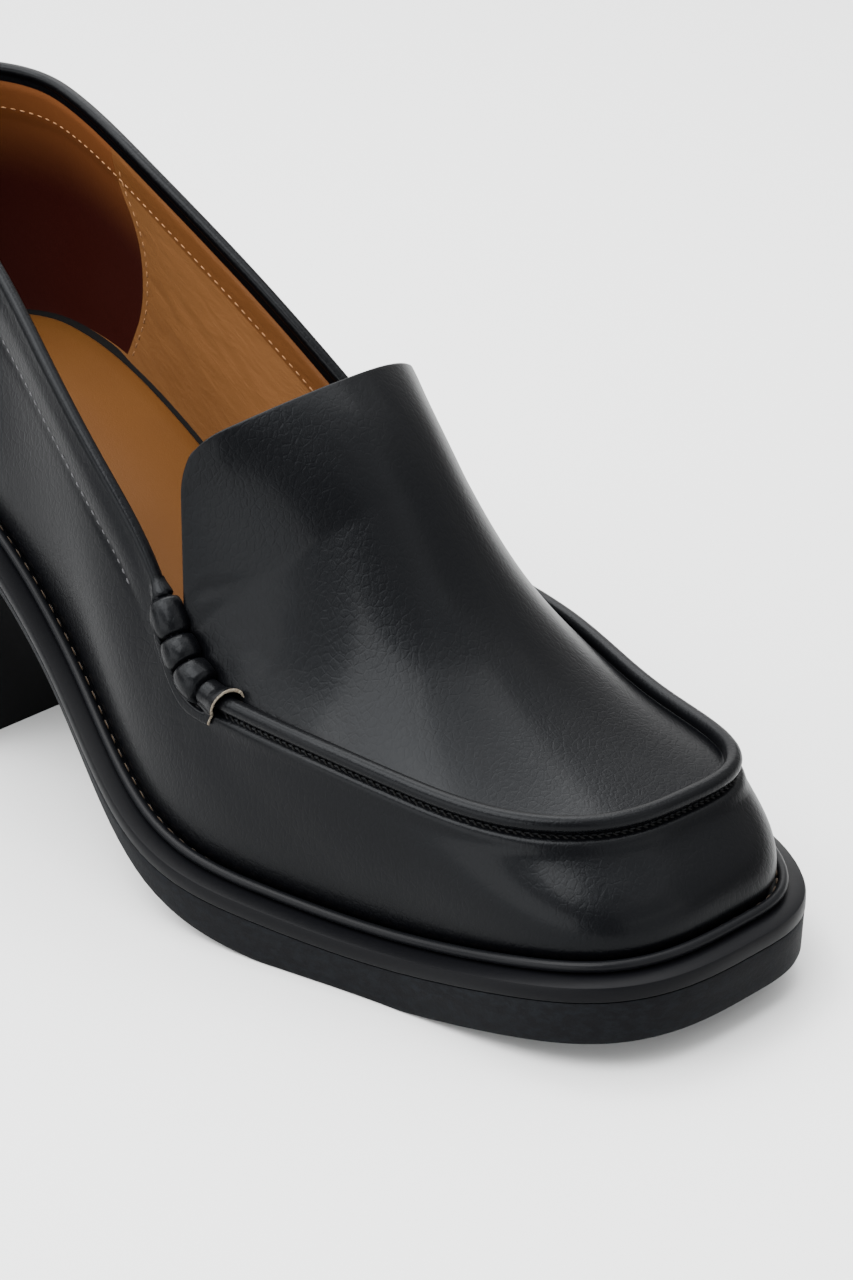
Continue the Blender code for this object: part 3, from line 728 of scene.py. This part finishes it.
def seam_columns(side):
    """Columns from the tongue's root to the corner of the toe."""
    columns = np.arange(ROOT, CORNER + 1)
    return columns if side == LATERAL else len(SOLE_RING) - columns


TOE_COLUMNS = np.arange(CORNER, 2 * HALF - CORNER + 1)


def grid_normals(grid, toward, closed=False):
    """Unit normals of a grid of points, on the side that a direction points to."""
    if closed:
        across = np.roll(grid, -1, axis=1) - np.roll(grid, 1, axis=1)
    else:
        across = np.gradient(grid, axis=1)
    normal = np.cross(np.gradient(grid, axis=0), across)
    normal /= np.linalg.norm(normal, axis=2)[:, :, None] + 1e-9
    return normal * np.sign((normal * toward).sum())


def depth_below_edge(grid):
    """How far each point of a wall's grid lies below its top edge, along the surface."""
    return np.array([run_along(column[::-1])[::-1] for column in grid.transpose(1, 0, 2)]).T


def creased(grid, creases):
    """How far each point of a surface sinks: soft troughs with a low ridge on either side."""
    depth = np.zeros(grid.shape[:2])
    for start, end, width, deep in creases:
        start, end = np.array(start), np.array(end)
        along = end - start
        share = np.clip(((grid - start) @ along) / (along @ along), 0, 1)
        gap = np.linalg.norm(grid - start - share[:, :, None] * along, axis=2)
        fade = 1 - CREASE_FADE * share
        ridge = RIDGE_HEIGHT * bell(gap, RIDGE_PLACE * width, width)
        depth += deep * fade * (bell(gap, 0.0, width) - ridge)
    return depth


def tongue_outline(root, side):
    """The tongue's free edge, in two lines that start at the middle of its rounded corner.

    One runs down its side to the root, and the other along its top to the shoe's middle.
    """
    corner = np.array(TONGUE_CORNER[side])
    share = np.linspace(0, 1, FINE)[:, None]
    arch = 1 - (1 - share) ** TONGUE_ARCH
    top = corner + (np.array(TONGUE_PEAK) - corner) * np.hstack([arch, share, arch])
    down = corner + (root - corner) * share
    top = top[np.linalg.norm(top - corner, axis=1) > TONGUE_CORNER_CUT]
    down = down[np.linalg.norm(down - corner, axis=1) > TONGUE_CORNER_CUT]
    cut = down[0] * (1 - share) ** 2 + 2 * corner * share * (1 - share) + top[0] * share ** 2
    middle = FINE // 2
    return np.vstack([cut[middle:0:-1], down]), np.vstack([cut[middle:-1], top])


def apron_patch(lateral, medial, top, toe):
    """A sheet arched from side to side over the crest line, and pulled to its two end edges."""
    middle = (lateral + medial) / 2
    run = run_along(middle)
    along = run / run[-1]
    crest = middle.copy()
    crest[:, 0] = APRON_CREST.at("station", along)
    crest[:, 2] = APRON_CREST.at("height", along)
    u = along[:, None, None]
    v = np.linspace(0, 1, len(top))[None, :, None]
    sheet = (1 - v) * lateral[:, None] + v * medial[:, None]
    sheet = sheet + (crest - middle)[:, None] * (1 - np.abs(2 * v - 1) ** APRON_ARCH)
    return sheet + (top - sheet[0]) * (1 - u) ** APRON_PULL + (toe - sheet[-1]) * u ** APRON_PULL


wall_shares = 1 - (1 - np.linspace(0, 1, WALL_ROWS + 1)) ** WALL_CROWDING
wall_grid = np.array(outer_wall(wall_shares))
wall_normal = grid_normals(wall_grid, lift(SOLE_OUT, 0.0), closed=True)
below = depth_below_edge(wall_grid)
on_collar = 1 - smooth_share(EDGE_RING[:, 0], *COLLAR_END)
on_vamp = smooth_share(EDGE_RING[:, 0], *VAMP_START)
facing_pad, facing_groove, seam_groove, seam_pad = (
    height * bell(below, depth, width)
    for height, depth, width in (FACING_PAD, FACING_GROOVE, SEAM_GROOVE, SEAM_PAD))
bare_wall = wall_grid + wall_normal * (on_collar * (facing_pad + facing_groove))[:, :, None]
wall_relief = on_vamp * (seam_groove + seam_pad) - creased(wall_grid, WALL_CREASES)
wall_grid = bare_wall + wall_normal * wall_relief[:, :, None]

upper = Skin()
roll_rows = [on_roll(ROLL_FOOT + (ROLL_END - ROLL_FOOT) * step / ROLL_ROWS)
             for step in range(1, ROLL_ROWS + 1)]
foot_rows = [sole_row(FOOT_INSET, SEAT_GAP), sole_row(CRACK_INSET, CRACK_HEIGHT)]
roll_edge = upper.rings([*foot_rows, *wall_grid, *roll_rows])[-1]

side_lines = {}
top_lines = {}
for side in (LATERAL, MEDIAL):
    seam = roll_rows[-1][seam_columns(side)]
    side_line, top_line = tongue_outline(seam[0], side)
    side_lines[side] = np.vstack([walk(side_line, TONGUE_STEPS)[:-1], seam])
    top_lines[side] = walk(top_line, STEPS["toe"])
tongue_top = np.vstack([top_lines[LATERAL], top_lines[MEDIAL][-2::-1]])
apron = apron_patch(side_lines[LATERAL], side_lines[MEDIAL], tongue_top, roll_rows[-1][TOE_COLUMNS])
apron_normal = grid_normals(apron, np.array(APRON_FACING))
from_side = np.minimum(np.arange(apron.shape[1]), np.arange(apron.shape[1])[::-1])[None, :]
free = smooth_share(from_side, 0, 2) * smooth_share(np.arange(len(apron))[::-1], 0, 3)[:, None]
crease_depth = creased(apron, APRON_CREASES) * free
apron_top = apron - apron_normal * crease_depth[:, :, None]


def sheet_numbers(skin, points, ring):
    """Numbers of a sheet's points, which shares its seam with a ring of the wall."""
    numbers = np.full(points.shape[:2], -1)
    numbers[TONGUE_STEPS:, 0] = ring[seam_columns(LATERAL)]
    numbers[TONGUE_STEPS:, -1] = ring[seam_columns(MEDIAL)]
    numbers[-1, :] = ring[TOE_COLUMNS]
    loose = numbers < 0
    numbers[loose] = skin.row(points[loose])
    for one, two in zip(numbers, numbers[1:]):
        skin.bridge(one, two, closed=False)
    return numbers


def mouth(numbers, ring):
    """The mouth's loop: round the collar, up one side of the tongue, over its top and down."""
    collar = np.concatenate([ring[-ROOT:], ring[:ROOT]])
    return np.concatenate([collar, numbers[TONGUE_STEPS:0:-1, 0], numbers[0], numbers[1:TONGUE_STEPS, -1]])


def lining_offsets(normals, seams):
    """From each point of a sheet to its lining: square to it, and turning to meet the wall's lining."""
    offset = -APRON_WALL * normals
    for _ in range(OFFSET_ROUNDS):
        for column in (0, -1):
            offset[TONGUE_STEPS:, column] = seams[column]
            side = offset[:TONGUE_STEPS + 1, column]
            side[1:-1] = (side[:-2] + 2 * side[1:-1] + side[2:]) / 4
        beside = offset[1:-1, :-2] + offset[1:-1, 2:] + offset[:-2, 1:-1] + offset[2:, 1:-1]
        offset[1:-1, 1:-1] = (2 * offset[1:-1, 1:-1] + beside) / 6
    return offset


ring_offset = INNER_EDGE - roll_rows[-1]
seam_offsets = {0: ring_offset[seam_columns(LATERAL)], -1: ring_offset[seam_columns(MEDIAL)]}
apron_under = apron + lining_offsets(apron_normal, seam_offsets)

mouth_outer = mouth(sheet_numbers(upper, apron_top, roll_edge), roll_edge)
outer_points = np.array(upper.points)[mouth_outer]
inside = Skin()
inside_edge = inside.row(INNER_EDGE)
mouth_inner = mouth(sheet_numbers(inside, apron_under, inside_edge), inside_edge)
inner_points = np.array(inside.points)[mouth_inner]

# The mouth's own edge: rounded over the tongue, and closed under the collar's roll
tongue_part = smooth_share(np.arange(len(mouth_outer)), 2 * ROOT - 2, 2 * ROOT + 3)
tongue_part *= smooth_share(np.arange(len(mouth_outer))[::-1], -2, 3)
along_mouth = np.roll(outer_points, -1, axis=0) - np.roll(outer_points, 1, axis=0)
past = np.cross(along_mouth, inner_points - outer_points)
past /= np.linalg.norm(past, axis=1)[:, None]
past *= np.sign((past * (outer_points - np.array(MOUTH_AHEAD))).sum())
rounding = (tongue_part * MOUTH_ROUNDING)[:, None]
loops = [mouth_outer]
for step in range(1, EDGE_ROWS + 1):
    share = step / (EDGE_ROWS + 1)
    bulge = math.sin(math.pi * share)
    loops.append(upper.row(outer_points * (1 - share) + inner_points * share + past * rounding * bulge))
loops.append(upper.row(inner_points))
for one, two in zip(loops, loops[1:]):
    upper.bridge(one, two)
dress(upper.piece("upper_calf", calf, rounds=1), "upper_leather", "upper")

# The lining: tan kid glued inside the wall and under the tongue, with a facing band sewn round the
# collar. Behind, a darker red-brown counter lining is lapped under the front one and sewn along its edge.
# Its darkness is partly its own colour and partly painted shade: painted lit near the top, near black deep
# down.
LINING_TAN = (0.126, 0.056, 0.020)
LINING_SHADE = (0.099, 0.041, 0.0125)
# The counter lining's colours: a painted shaded near black deep down and a painted lit brown near the top.
COUNTER_PAINTED_SHADE = (0.0156, 0.0009, 0.0001)
COUNTER_PAINTED_LIT = (0.069, 0.021, 0.0042)
BAND_DEPTH_INSIDE = 6.9
BAND_BROWN = (0.056, 0.0180, 0.0037)
COUNTER_EDGE = Table("height station", [
    (60, 47.0), (73.5, 50.8), (81.6, 54.4), (91.3, 55.9), (100.3, 54.9), (109.6, 51.2), (120, 51.0)])
BAND_THICKNESS = 0.35
BAND_SHARE = 0.7
COUNTER_LAP = 0.3
LAP_SLOPE = 0.5
FOLD_SLANT = math.radians(-53)
FOLD_STRETCH = 3.5
TONGUE_START = (122.0, 134.0)
FAR_OFF = 99.0
LINING_CREASES = [
    ((60.0, -25.5, 90.0), (86.0, -25.0, 69.0), 1.0, 0.60),
    ((63.0, -25.5, 84.5), (83.0, -24.5, 68.0), 0.8, 0.56),
    ((70.0, -25.0, 86.0), (92.0, -25.5, 68.0), 1.1, 0.60),
    ((58.5, -25.5, 82.0), (72.0, -24.5, 72.0), 0.8, 0.48),
    ((80.0, -25.0, 82.0), (97.0, -27.0, 66.0), 1.0, 0.44),
    ((62.0, 25.5, 88.0), (88.0, 26.0, 68.0), 1.2, 0.50)]

kid = Finish("tan_lining_kid", Specular_IOR_Level=0.09)
spot = kid.place()
behind_edge = kid.step(kid.mark("past_counter"), -0.15, 0.15, 1.0, 0.0)
# Painted shade: the counter lining goes from a painted lit brown near its top edge to near black deep down.
deep = kid.step(kid.mark("depth_inside"), 2.0, 24.0)
in_band = kid.step(kid.mark("depth_inside"), BAND_DEPTH_INSIDE - 0.1, BAND_DEPTH_INSIDE + 0.3, 1.0, 0.0)
slanting = kid.node("ShaderNodeMapping", dict(vector_type="TEXTURE"), spot, (0.0, 0.0, 0.0),
                    (FOLD_SLANT, 0.0, 0.0), (1.0, 1.0, FOLD_STRETCH))
fold = kid.cloud(slanting, 0.0026, detail=3.0, distortion=0.4)
tone = kid.cloud(spot, 0.020, detail=3.0)
front_tan = kid.blend(tone, LINING_TAN, LINING_SHADE)
counter_with_painted_shade = kid.blend(deep, COUNTER_PAINTED_LIT, COUNTER_PAINTED_SHADE)
front_tan = kid.blend(in_band * BAND_SHARE, front_tan, BAND_BROWN)
kid.tint(behind_edge, front_tan, counter_with_painted_shade)
kid.paint("Roughness", 0.46 + 0.12 * tone + 0.2 * behind_edge)
kid.relief((fold * (0.26 - 0.18 * behind_edge) + kid.cloud(spot, 0.0008) * 0.03) * MM)

lining_grid = np.array(inner_wall(wall_shares))
inner_normal = -grid_normals(lining_grid, lift(SOLE_OUT, 0.0), closed=True)
inside_down = depth_below_edge(lining_grid)
before_tongue = 1 - smooth_share(EDGE_RING[:, 0], *TONGUE_START)
band_step = BAND_THICKNESS * (1 - smooth_share(inside_down, BAND_DEPTH_INSIDE, BAND_DEPTH_INSIDE + 0.7))
band_step *= smooth_share(inside_down, 0.0, 1.2)
edge_station = COUNTER_EDGE.at("station", lining_grid[:, :, 2])
behind = 1 - smooth_share(lining_grid[:, :, 0], edge_station - LAP_SLOPE, edge_station + LAP_SLOPE)
below_band = smooth_share(inside_down, BAND_DEPTH_INSIDE, BAND_DEPTH_INSIDE + LAP_SLOPE)
lap_step = COUNTER_LAP * (1 - behind) * below_band
lining_relief = before_tongue * band_step + lap_step - creased(lining_grid, LINING_CREASES)
lining_grid = lining_grid + inner_normal * lining_relief[:, :, None]
lining = Skin()
lining_rings = lining.rings([sole_row(FOOT_INSET + WALL, SEAT_GAP), *lining_grid])
sheet_numbers(lining, apron_under, lining_rings[-1])
counter_marks = np.full(len(lining.points), FAR_OFF)
depth_marks = np.full(len(lining.points), FAR_OFF)
wall_points = slice(len(SOLE_RING), len(SOLE_RING) + behind.size)
counter_marks[wall_points] = (lining_grid[:, :, 0] - edge_station).ravel()
depth_marks[wall_points] = (inside_down + FAR_OFF * (1 - before_tongue)).ravel()
lining_marks = {"past_counter": counter_marks, "depth_inside": depth_marks}
dress(lining.piece("lining_kid", kid, rounds=1, marks=lining_marks), "insole_leather", "upper")

# The seams: waxed black thread slants along under the apron's roll, finer grey-black thread holds the
# collar's facing, and tan thread holds the facing band and the counter's edge inside.
SEAM_STITCH = dict(pitch=1.45, length=1.35, radius=0.24, lean=math.radians(35))
COLLAR_STITCH = dict(pitch=2.1, length=1.4, radius=0.22)
LINING_STITCH = dict(pitch=2.1, length=1.35, radius=0.16)
SEAM_STITCH_DEPTH = 0.75
SEAM_STATIONS = (147.5, LENGTH)
COLLAR_STATIONS = (0.0, 122.0)
BAND_STITCH_GAP = 0.9
LAP_STATIONS = (20.0, 95.0)
LAP_HEIGHTS = (64.0, 113.0)
LAP_ROWS = 40
LAP_STITCH_GAP = 1.8
WAXED_BLACK = (0.0012, 0.0012, 0.0013)
THREAD_GREY = (0.034, 0.034, 0.036)
THREAD_TAN = (0.26, 0.125, 0.050)


def row_below(grid, normals, down, depth, columns):
    """A line on a wall at a depth below its top edge, with the normals there."""
    surface = np.concatenate([grid, normals], axis=2)[::-1]
    line = np.array([[np.interp(deep, down[::-1, column], surface[:, column, part]) for part in range(6)]
                     for column, deep in zip(columns, np.broadcast_to(depth, len(columns)))])
    return line[:, :3], line[:, 3:]


def columns_between(side, start, end):
    """Columns of one side with their edge between two stations, from the heel forward."""
    columns = np.arange(HALF) if side == LATERAL else (len(SOLE_RING) - np.arange(HALF)) % len(SOLE_RING)
    place = EDGE_RING[columns, 0]
    return columns[(place >= start) & (place <= end)]


seam_path = np.concatenate([
    columns_between(LATERAL, *SEAM_STATIONS), columns_between(MEDIAL, *SEAM_STATIONS)[::-1]])
seam_line = row_below(wall_grid, wall_normal, below, SEAM_STITCH_DEPTH, seam_path)
black_thread = thread("waxed_black_thread", WAXED_BLACK, 0.0)
dress(sew("seam_stitches", black_thread, [seam_line], **SEAM_STITCH), "upper_leather", "upper")

collar_path = np.concatenate([
    columns_between(MEDIAL, *COLLAR_STATIONS)[::-1], columns_between(LATERAL, *COLLAR_STATIONS)[1:]])
collar_line = row_below(wall_grid, wall_normal, below, FACING_DEPTH, collar_path)
grey_thread = thread("grey_thread", THREAD_GREY, THREAD_SHEEN)
dress(sew("collar_stitches", grey_thread, [collar_line], **COLLAR_STITCH), "upper_leather", "upper")

band_stitch_depth = BAND_DEPTH_INSIDE - BAND_STITCH_GAP
band_line = row_below(lining_grid, inner_normal, inside_down, band_stitch_depth, collar_path)
lining_surface = np.concatenate([lining_grid, inner_normal], axis=2)
lap_lines = []
for side in (LATERAL, MEDIAL):
    columns = columns_between(side, *LAP_STATIONS)
    lap_points = []
    lap_normals = []
    for height in np.linspace(*LAP_HEIGHTS, LAP_ROWS):
        # station, width and normal of every column where it reaches this height
        level = np.array([[np.interp(height, lining_grid[:, column, 2], lining_surface[:, column, part])
                           for part in (0, 1, 3, 4, 5)] for column in columns])
        station = COUNTER_EDGE.at("station", height) + LAP_STITCH_GAP
        width, *facing = [np.interp(station, level[:, 0], part) for part in level.T[1:]]
        lap_points.append((station, width, height))
        lap_normals.append(facing)
    lap_lines.append((np.array(lap_points), np.array(lap_normals)))
tan_thread = thread("tan_thread", THREAD_TAN, THREAD_SHEEN)
lining_stitches = sew("lining_stitches", tan_thread, [band_line, *lap_lines], **LINING_STITCH)
dress(lining_stitches, "insole_leather", "upper")

# The tied tabs: on each side a strip of the same calf lies over the roll where tongue and collar meet.
# Its flange is glued to the wall, and above a slit the strip is wound into three short turns.
# Its front end is cut square, flares up and shows the pale leather inside.
TAB_REAR = (127.5, 125.6)
TAB_FRONT = (145.2, 149.4)
TAB_STATIONS = (100.0, 200.0)
TAB_FLANGE_DEPTH = (5.4, 3.3)
TAB_SHORTENS = (136.0, 147.0)
TAB_TOP_DEPTH = 0.25
TAB_LEAN = 1.3
TAB_SLIT_DEPTH = 2.2
TAB_TURN_ENDS = (128.0, 132.8, 136.9, 142.2)
TAB_LEATHER = 0.85
TAB_SWELL = 1.35
TAB_TURN_ROUND = 2.4
TAB_FLARE = 0.95
TAB_FLARE_REACH = 3.2
TAB_OVER = math.radians(158)
TAB_STEPS = 150
TAB_FLANGE_ROWS = 20
TAB_ROLL_ROWS = 26
TAB_UNDER = 0.10
TAB_PINCH = 0.45
TAB_PINCH_WIDTH = 0.22
TAB_SLIT_CUT = 0.9
TAB_THINNEST = 0.06
TAB_SLIT_STATIONS = (125.5, 128.0, 142.5, 145.0)
TAB_SHARP_EDGE = 60
TIE_STITCH = dict(pitch=1.6, length=1.1, radius=0.2)
TIE_REACH = (0.15, 0.85)
RAW_CREAM = (0.157, 0.137, 0.102)
RAW_DARK = (0.13, 0.10, 0.07)
# share of the leather's thickness, and how far the cut end stands out there
RAW_PROFILE = ((0.0, 0.0), (0.15, 0.10), (0.5, 0.16), (0.85, 0.10), (1.0, 0.0))

raw = Finish("raw_leather_edge")
fibre = raw.step(raw.cloud(raw.place(), 0.0004, detail=4.0), 0.4, 0.62)
raw.tint(fibre, RAW_CREAM, RAW_DARK)
raw.paint("Roughness", 0.75 + 0.1 * fibre)
raw.relief(fibre * 0.12 * MM)

for side, node in ((LATERAL, "tab_lateral"), (MEDIAL, "tab_medial")):
    path = columns_between(side, *TAB_STATIONS)
    along_edge = EDGE_RING[path, 0]
    depths = np.linspace(TAB_FLANGE_DEPTH[0], TAB_TOP_DEPTH, TAB_FLANGE_ROWS)
    front_share = TAB_FLANGE_DEPTH[1] / TAB_FLANGE_DEPTH[0]
    shorter = 1 + (front_share - 1) * smooth_share(along_edge, *TAB_SHORTENS)
    rows = [row_below(bare_wall, wall_normal, below, depth * shorter, path)[0] for depth in depths]
    for share in np.linspace(0.12, 1, TAB_ROLL_ROWS):
        rows.append(on_roll(between((ROLL_FOOT, TAB_OVER), share))[path])
    count = len(rows)
    row = np.arange(count)
    up_strip = np.linspace(0, 1, count)
    rear = between(TAB_REAR, smooth_share(up_strip, 0.0, 0.5))
    front = between(TAB_FRONT, up_strip ** TAB_LEAN)
    station = rear + (front - rear) * np.linspace(0, 1, TAB_STEPS + 1)[:, None]
    surface = np.stack([read_at(line, along_edge, station[:, i]) for i, line in enumerate(rows)], axis=1)
    normal = grid_normals(surface, np.array([0.0, side, 0.5]))

    # The slit under the wound turns, and the turns themselves with a pinch between them
    slit_row = np.interp(-TAB_SLIT_DEPTH, -depths, row[:TAB_FLANGE_ROWS])
    slit_from, slit_full, slit_fades, slit_to = TAB_SLIT_STATIONS
    slit = bell(row, slit_row, 1.5) * smooth_share(station, slit_from, slit_full)
    slit = slit * (1 - smooth_share(station, slit_fades, slit_to))
    above_slit = smooth_share(row, slit_row, slit_row + 3)
    turn = np.interp(station, TAB_TURN_ENDS, np.arange(len(TAB_TURN_ENDS)))
    wound = (station > TAB_TURN_ENDS[0]) & (station < TAB_TURN_ENDS[-1])
    from_middle = np.abs(2 * (turn % 1) - 1)
    swell = wound * np.sqrt(1 - from_middle ** TAB_TURN_ROUND)
    swell = swell * (1 - 0.5 * smooth_share(row, count - 7, count))
    pinch = sum(bell(station, end, TAB_PINCH_WIDTH) for end in TAB_TURN_ENDS)

    # The leather's thickness: thin at the rear and towards both long edges
    thin_rear = 0.15 + 0.85 * smooth_share(station - rear, 0.0, 2.2)
    low_edge = 0.25 + 0.75 * smooth_share(row, -0.5, 1.5)
    high_edge = 1 - 0.8 * smooth_share(row, count - 4, count)
    thick = (TAB_LEATHER + TAB_SWELL * swell * above_slit) * thin_rear * np.minimum(low_edge, high_edge)
    thick = thick * (1 - 0.25 * smooth_share(station, front - 3.0, front))
    thick = np.maximum(thick - TAB_PINCH * pinch * above_slit - TAB_SLIT_CUT * slit, TAB_THINNEST)
    flare = TAB_FLARE * smooth_share(station, front - TAB_FLARE_REACH, front) * (0.25 + 0.75 * above_slit)
    inner = surface + normal * (TAB_UNDER + flare)[:, :, None]
    outer = inner + normal * thick[:, :, None]
    tab = Skin()
    tab_loops = [tab.row(np.vstack([low, high[::-1]])) for low, high in zip(inner, outer)]
    for one, two in zip(tab_loops, tab_loops[1:]):
        tab.bridge(one, two)
    tab.bridge(tab_loops[0][:count], tab_loops[0][:count - 1:-1], closed=False)
    dress(tab.piece(node + "_strip", calf, sharp=TAB_SHARP_EDGE), "tab_leather", node)

    ahead = surface[-1] - surface[-3]
    ahead /= np.linalg.norm(ahead, axis=1)[:, None]
    cut_end = Skin()
    cut_end.rings([inner[-1] * (1 - part) + outer[-1] * part + ahead * stand
                   for part, stand in RAW_PROFILE], closed=False)
    dress(cut_end.piece(node + "_raw_edge", raw), "tab_leather", node)

    in_slit = slice(int(TIE_REACH[0] * TAB_STEPS), int(TIE_REACH[1] * TAB_STEPS))
    tie = (outer[in_slit, int(slit_row)], normal[in_slit, int(slit_row)])
    dress(sew(node + "_ties", black_thread, [tie], **TIE_STITCH), "tab_leather", node)

# The studio: a plain pale floor under a dome of soft panels. The strongest hang overhead, on the left
# and behind the shoe, and those near the camera are weak, so that the leather facing it stays dark.
FLOOR_SIZE = 8.0
FLOOR_PALE = (0.550, 0.554, 0.554)
FLOOR_SHADE = (0.542, 0.546, 0.546)
WORLD_BRIGHTNESS = 0.85
PANEL_DISTANCE = 1.6
PANEL_SIZES = {12: (1.5, 0.8), 36: (1.35, 0.95), 60: (1.15, 0.88), 84: (1.3, 1.3)}
# azimuth and elevation in degrees, and brightness
PANELS = [
    (45, 12, 1.07),
    (180, 12, 6.77),
    (270, 12, 1.87),
    (0, 36, 0.36),
    (45, 36, 2.06),
    (90, 36, 0.58),
    (135, 36, 6.73),
    (180, 36, 0.48),
    (270, 36, 1.40),
    (315, 36, 0.91),
    (0, 60, 1.42),
    (60, 60, 9.62),
    (120, 60, 5.58),
    (180, 60, 15.25),
    (240, 60, 0.59),
    (300, 60, 1.61),
    (0, 84, 6.07)]

ground = Finish("studio_floor", Roughness=0.6)
ground.tint(ground.cloud(ground.place(), 0.8), FLOOR_PALE, FLOOR_SHADE)
bpy.ops.mesh.primitive_plane_add(size=FLOOR_SIZE)
floor = bpy.context.object
floor.name = "studio_floor"
floor.data.materials.append(ground.material)

world = bpy.data.worlds.new("studio")
world.use_nodes = True
background = world.node_tree.nodes["Background"]
background.inputs["Strength"].default_value = WORLD_BRIGHTNESS
background.inputs["Color"].default_value = (1.0, 1.0, 1.0, 1.0)
bpy.context.scene.world = world
for azimuth, elevation, brightness in PANELS:
    width, height = PANEL_SIZES[elevation]
    lamp = bpy.data.lights.new(f"panel_{azimuth}_{elevation}", "AREA")
    lamp.shape = "RECTANGLE"
    lamp.size = width
    lamp.size_y = height
    lamp.energy = brightness * math.pi * width * height
    light = bpy.data.objects.new(lamp.name, lamp)
    bpy.context.scene.collection.objects.link(light)
    turn, tilt = math.radians(azimuth), math.radians(elevation)
    ray = Vector((math.cos(turn) * math.cos(tilt), math.sin(turn) * math.cos(tilt), math.sin(tilt)))
    light.location = ray * PANEL_DISTANCE
    light.rotation_euler = ray.to_track_quat("Z", "Y").to_euler()

# The camera: a short telephoto in front of the toe on the lateral side, a little above the shoe.
# It looks down by about 25 degrees along the photo's own line of sight, and rolls by about one degree.
CAMERA_AIM = (146.68, -14.34, 40.0)
CAMERA_TURN = math.radians(45.378)
CAMERA_TILT = math.radians(25.139)
CAMERA_ROLL = math.radians(-1.2097)
CAMERA_DISTANCE = 575.19
CAMERA_LENS = 84.375
SENSOR_WIDTH = 36.0

ahead, aside = math.cos(CAMERA_TURN), math.sin(CAMERA_TURN)
back = np.array([ahead * math.cos(CAMERA_TILT), aside * math.cos(CAMERA_TILT), math.sin(CAMERA_TILT)])
level = np.array([aside, -ahead, 0.0])
rising = -np.cross(back, level)
rising *= np.sign(rising[2])
right = level * math.cos(CAMERA_ROLL) + rising * math.sin(CAMERA_ROLL)
upward = rising * math.cos(CAMERA_ROLL) - level * math.sin(CAMERA_ROLL)
lens = bpy.data.cameras.new("camera")
lens.lens = CAMERA_LENS
lens.sensor_width = SENSOR_WIDTH
lens.clip_start = 0.01
camera = bpy.data.objects.new("camera", lens)
bpy.context.scene.collection.objects.link(camera)
place = to_world([np.array(CAMERA_AIM) + back * CAMERA_DISTANCE])[0]
turned = Matrix([(-axis[1], -axis[0], axis[2]) for axis in (right, upward, back)]).transposed()
camera.matrix_world = Matrix.Translation(Vector(place)) @ turned.to_4x4()
bpy.context.scene.camera = camera
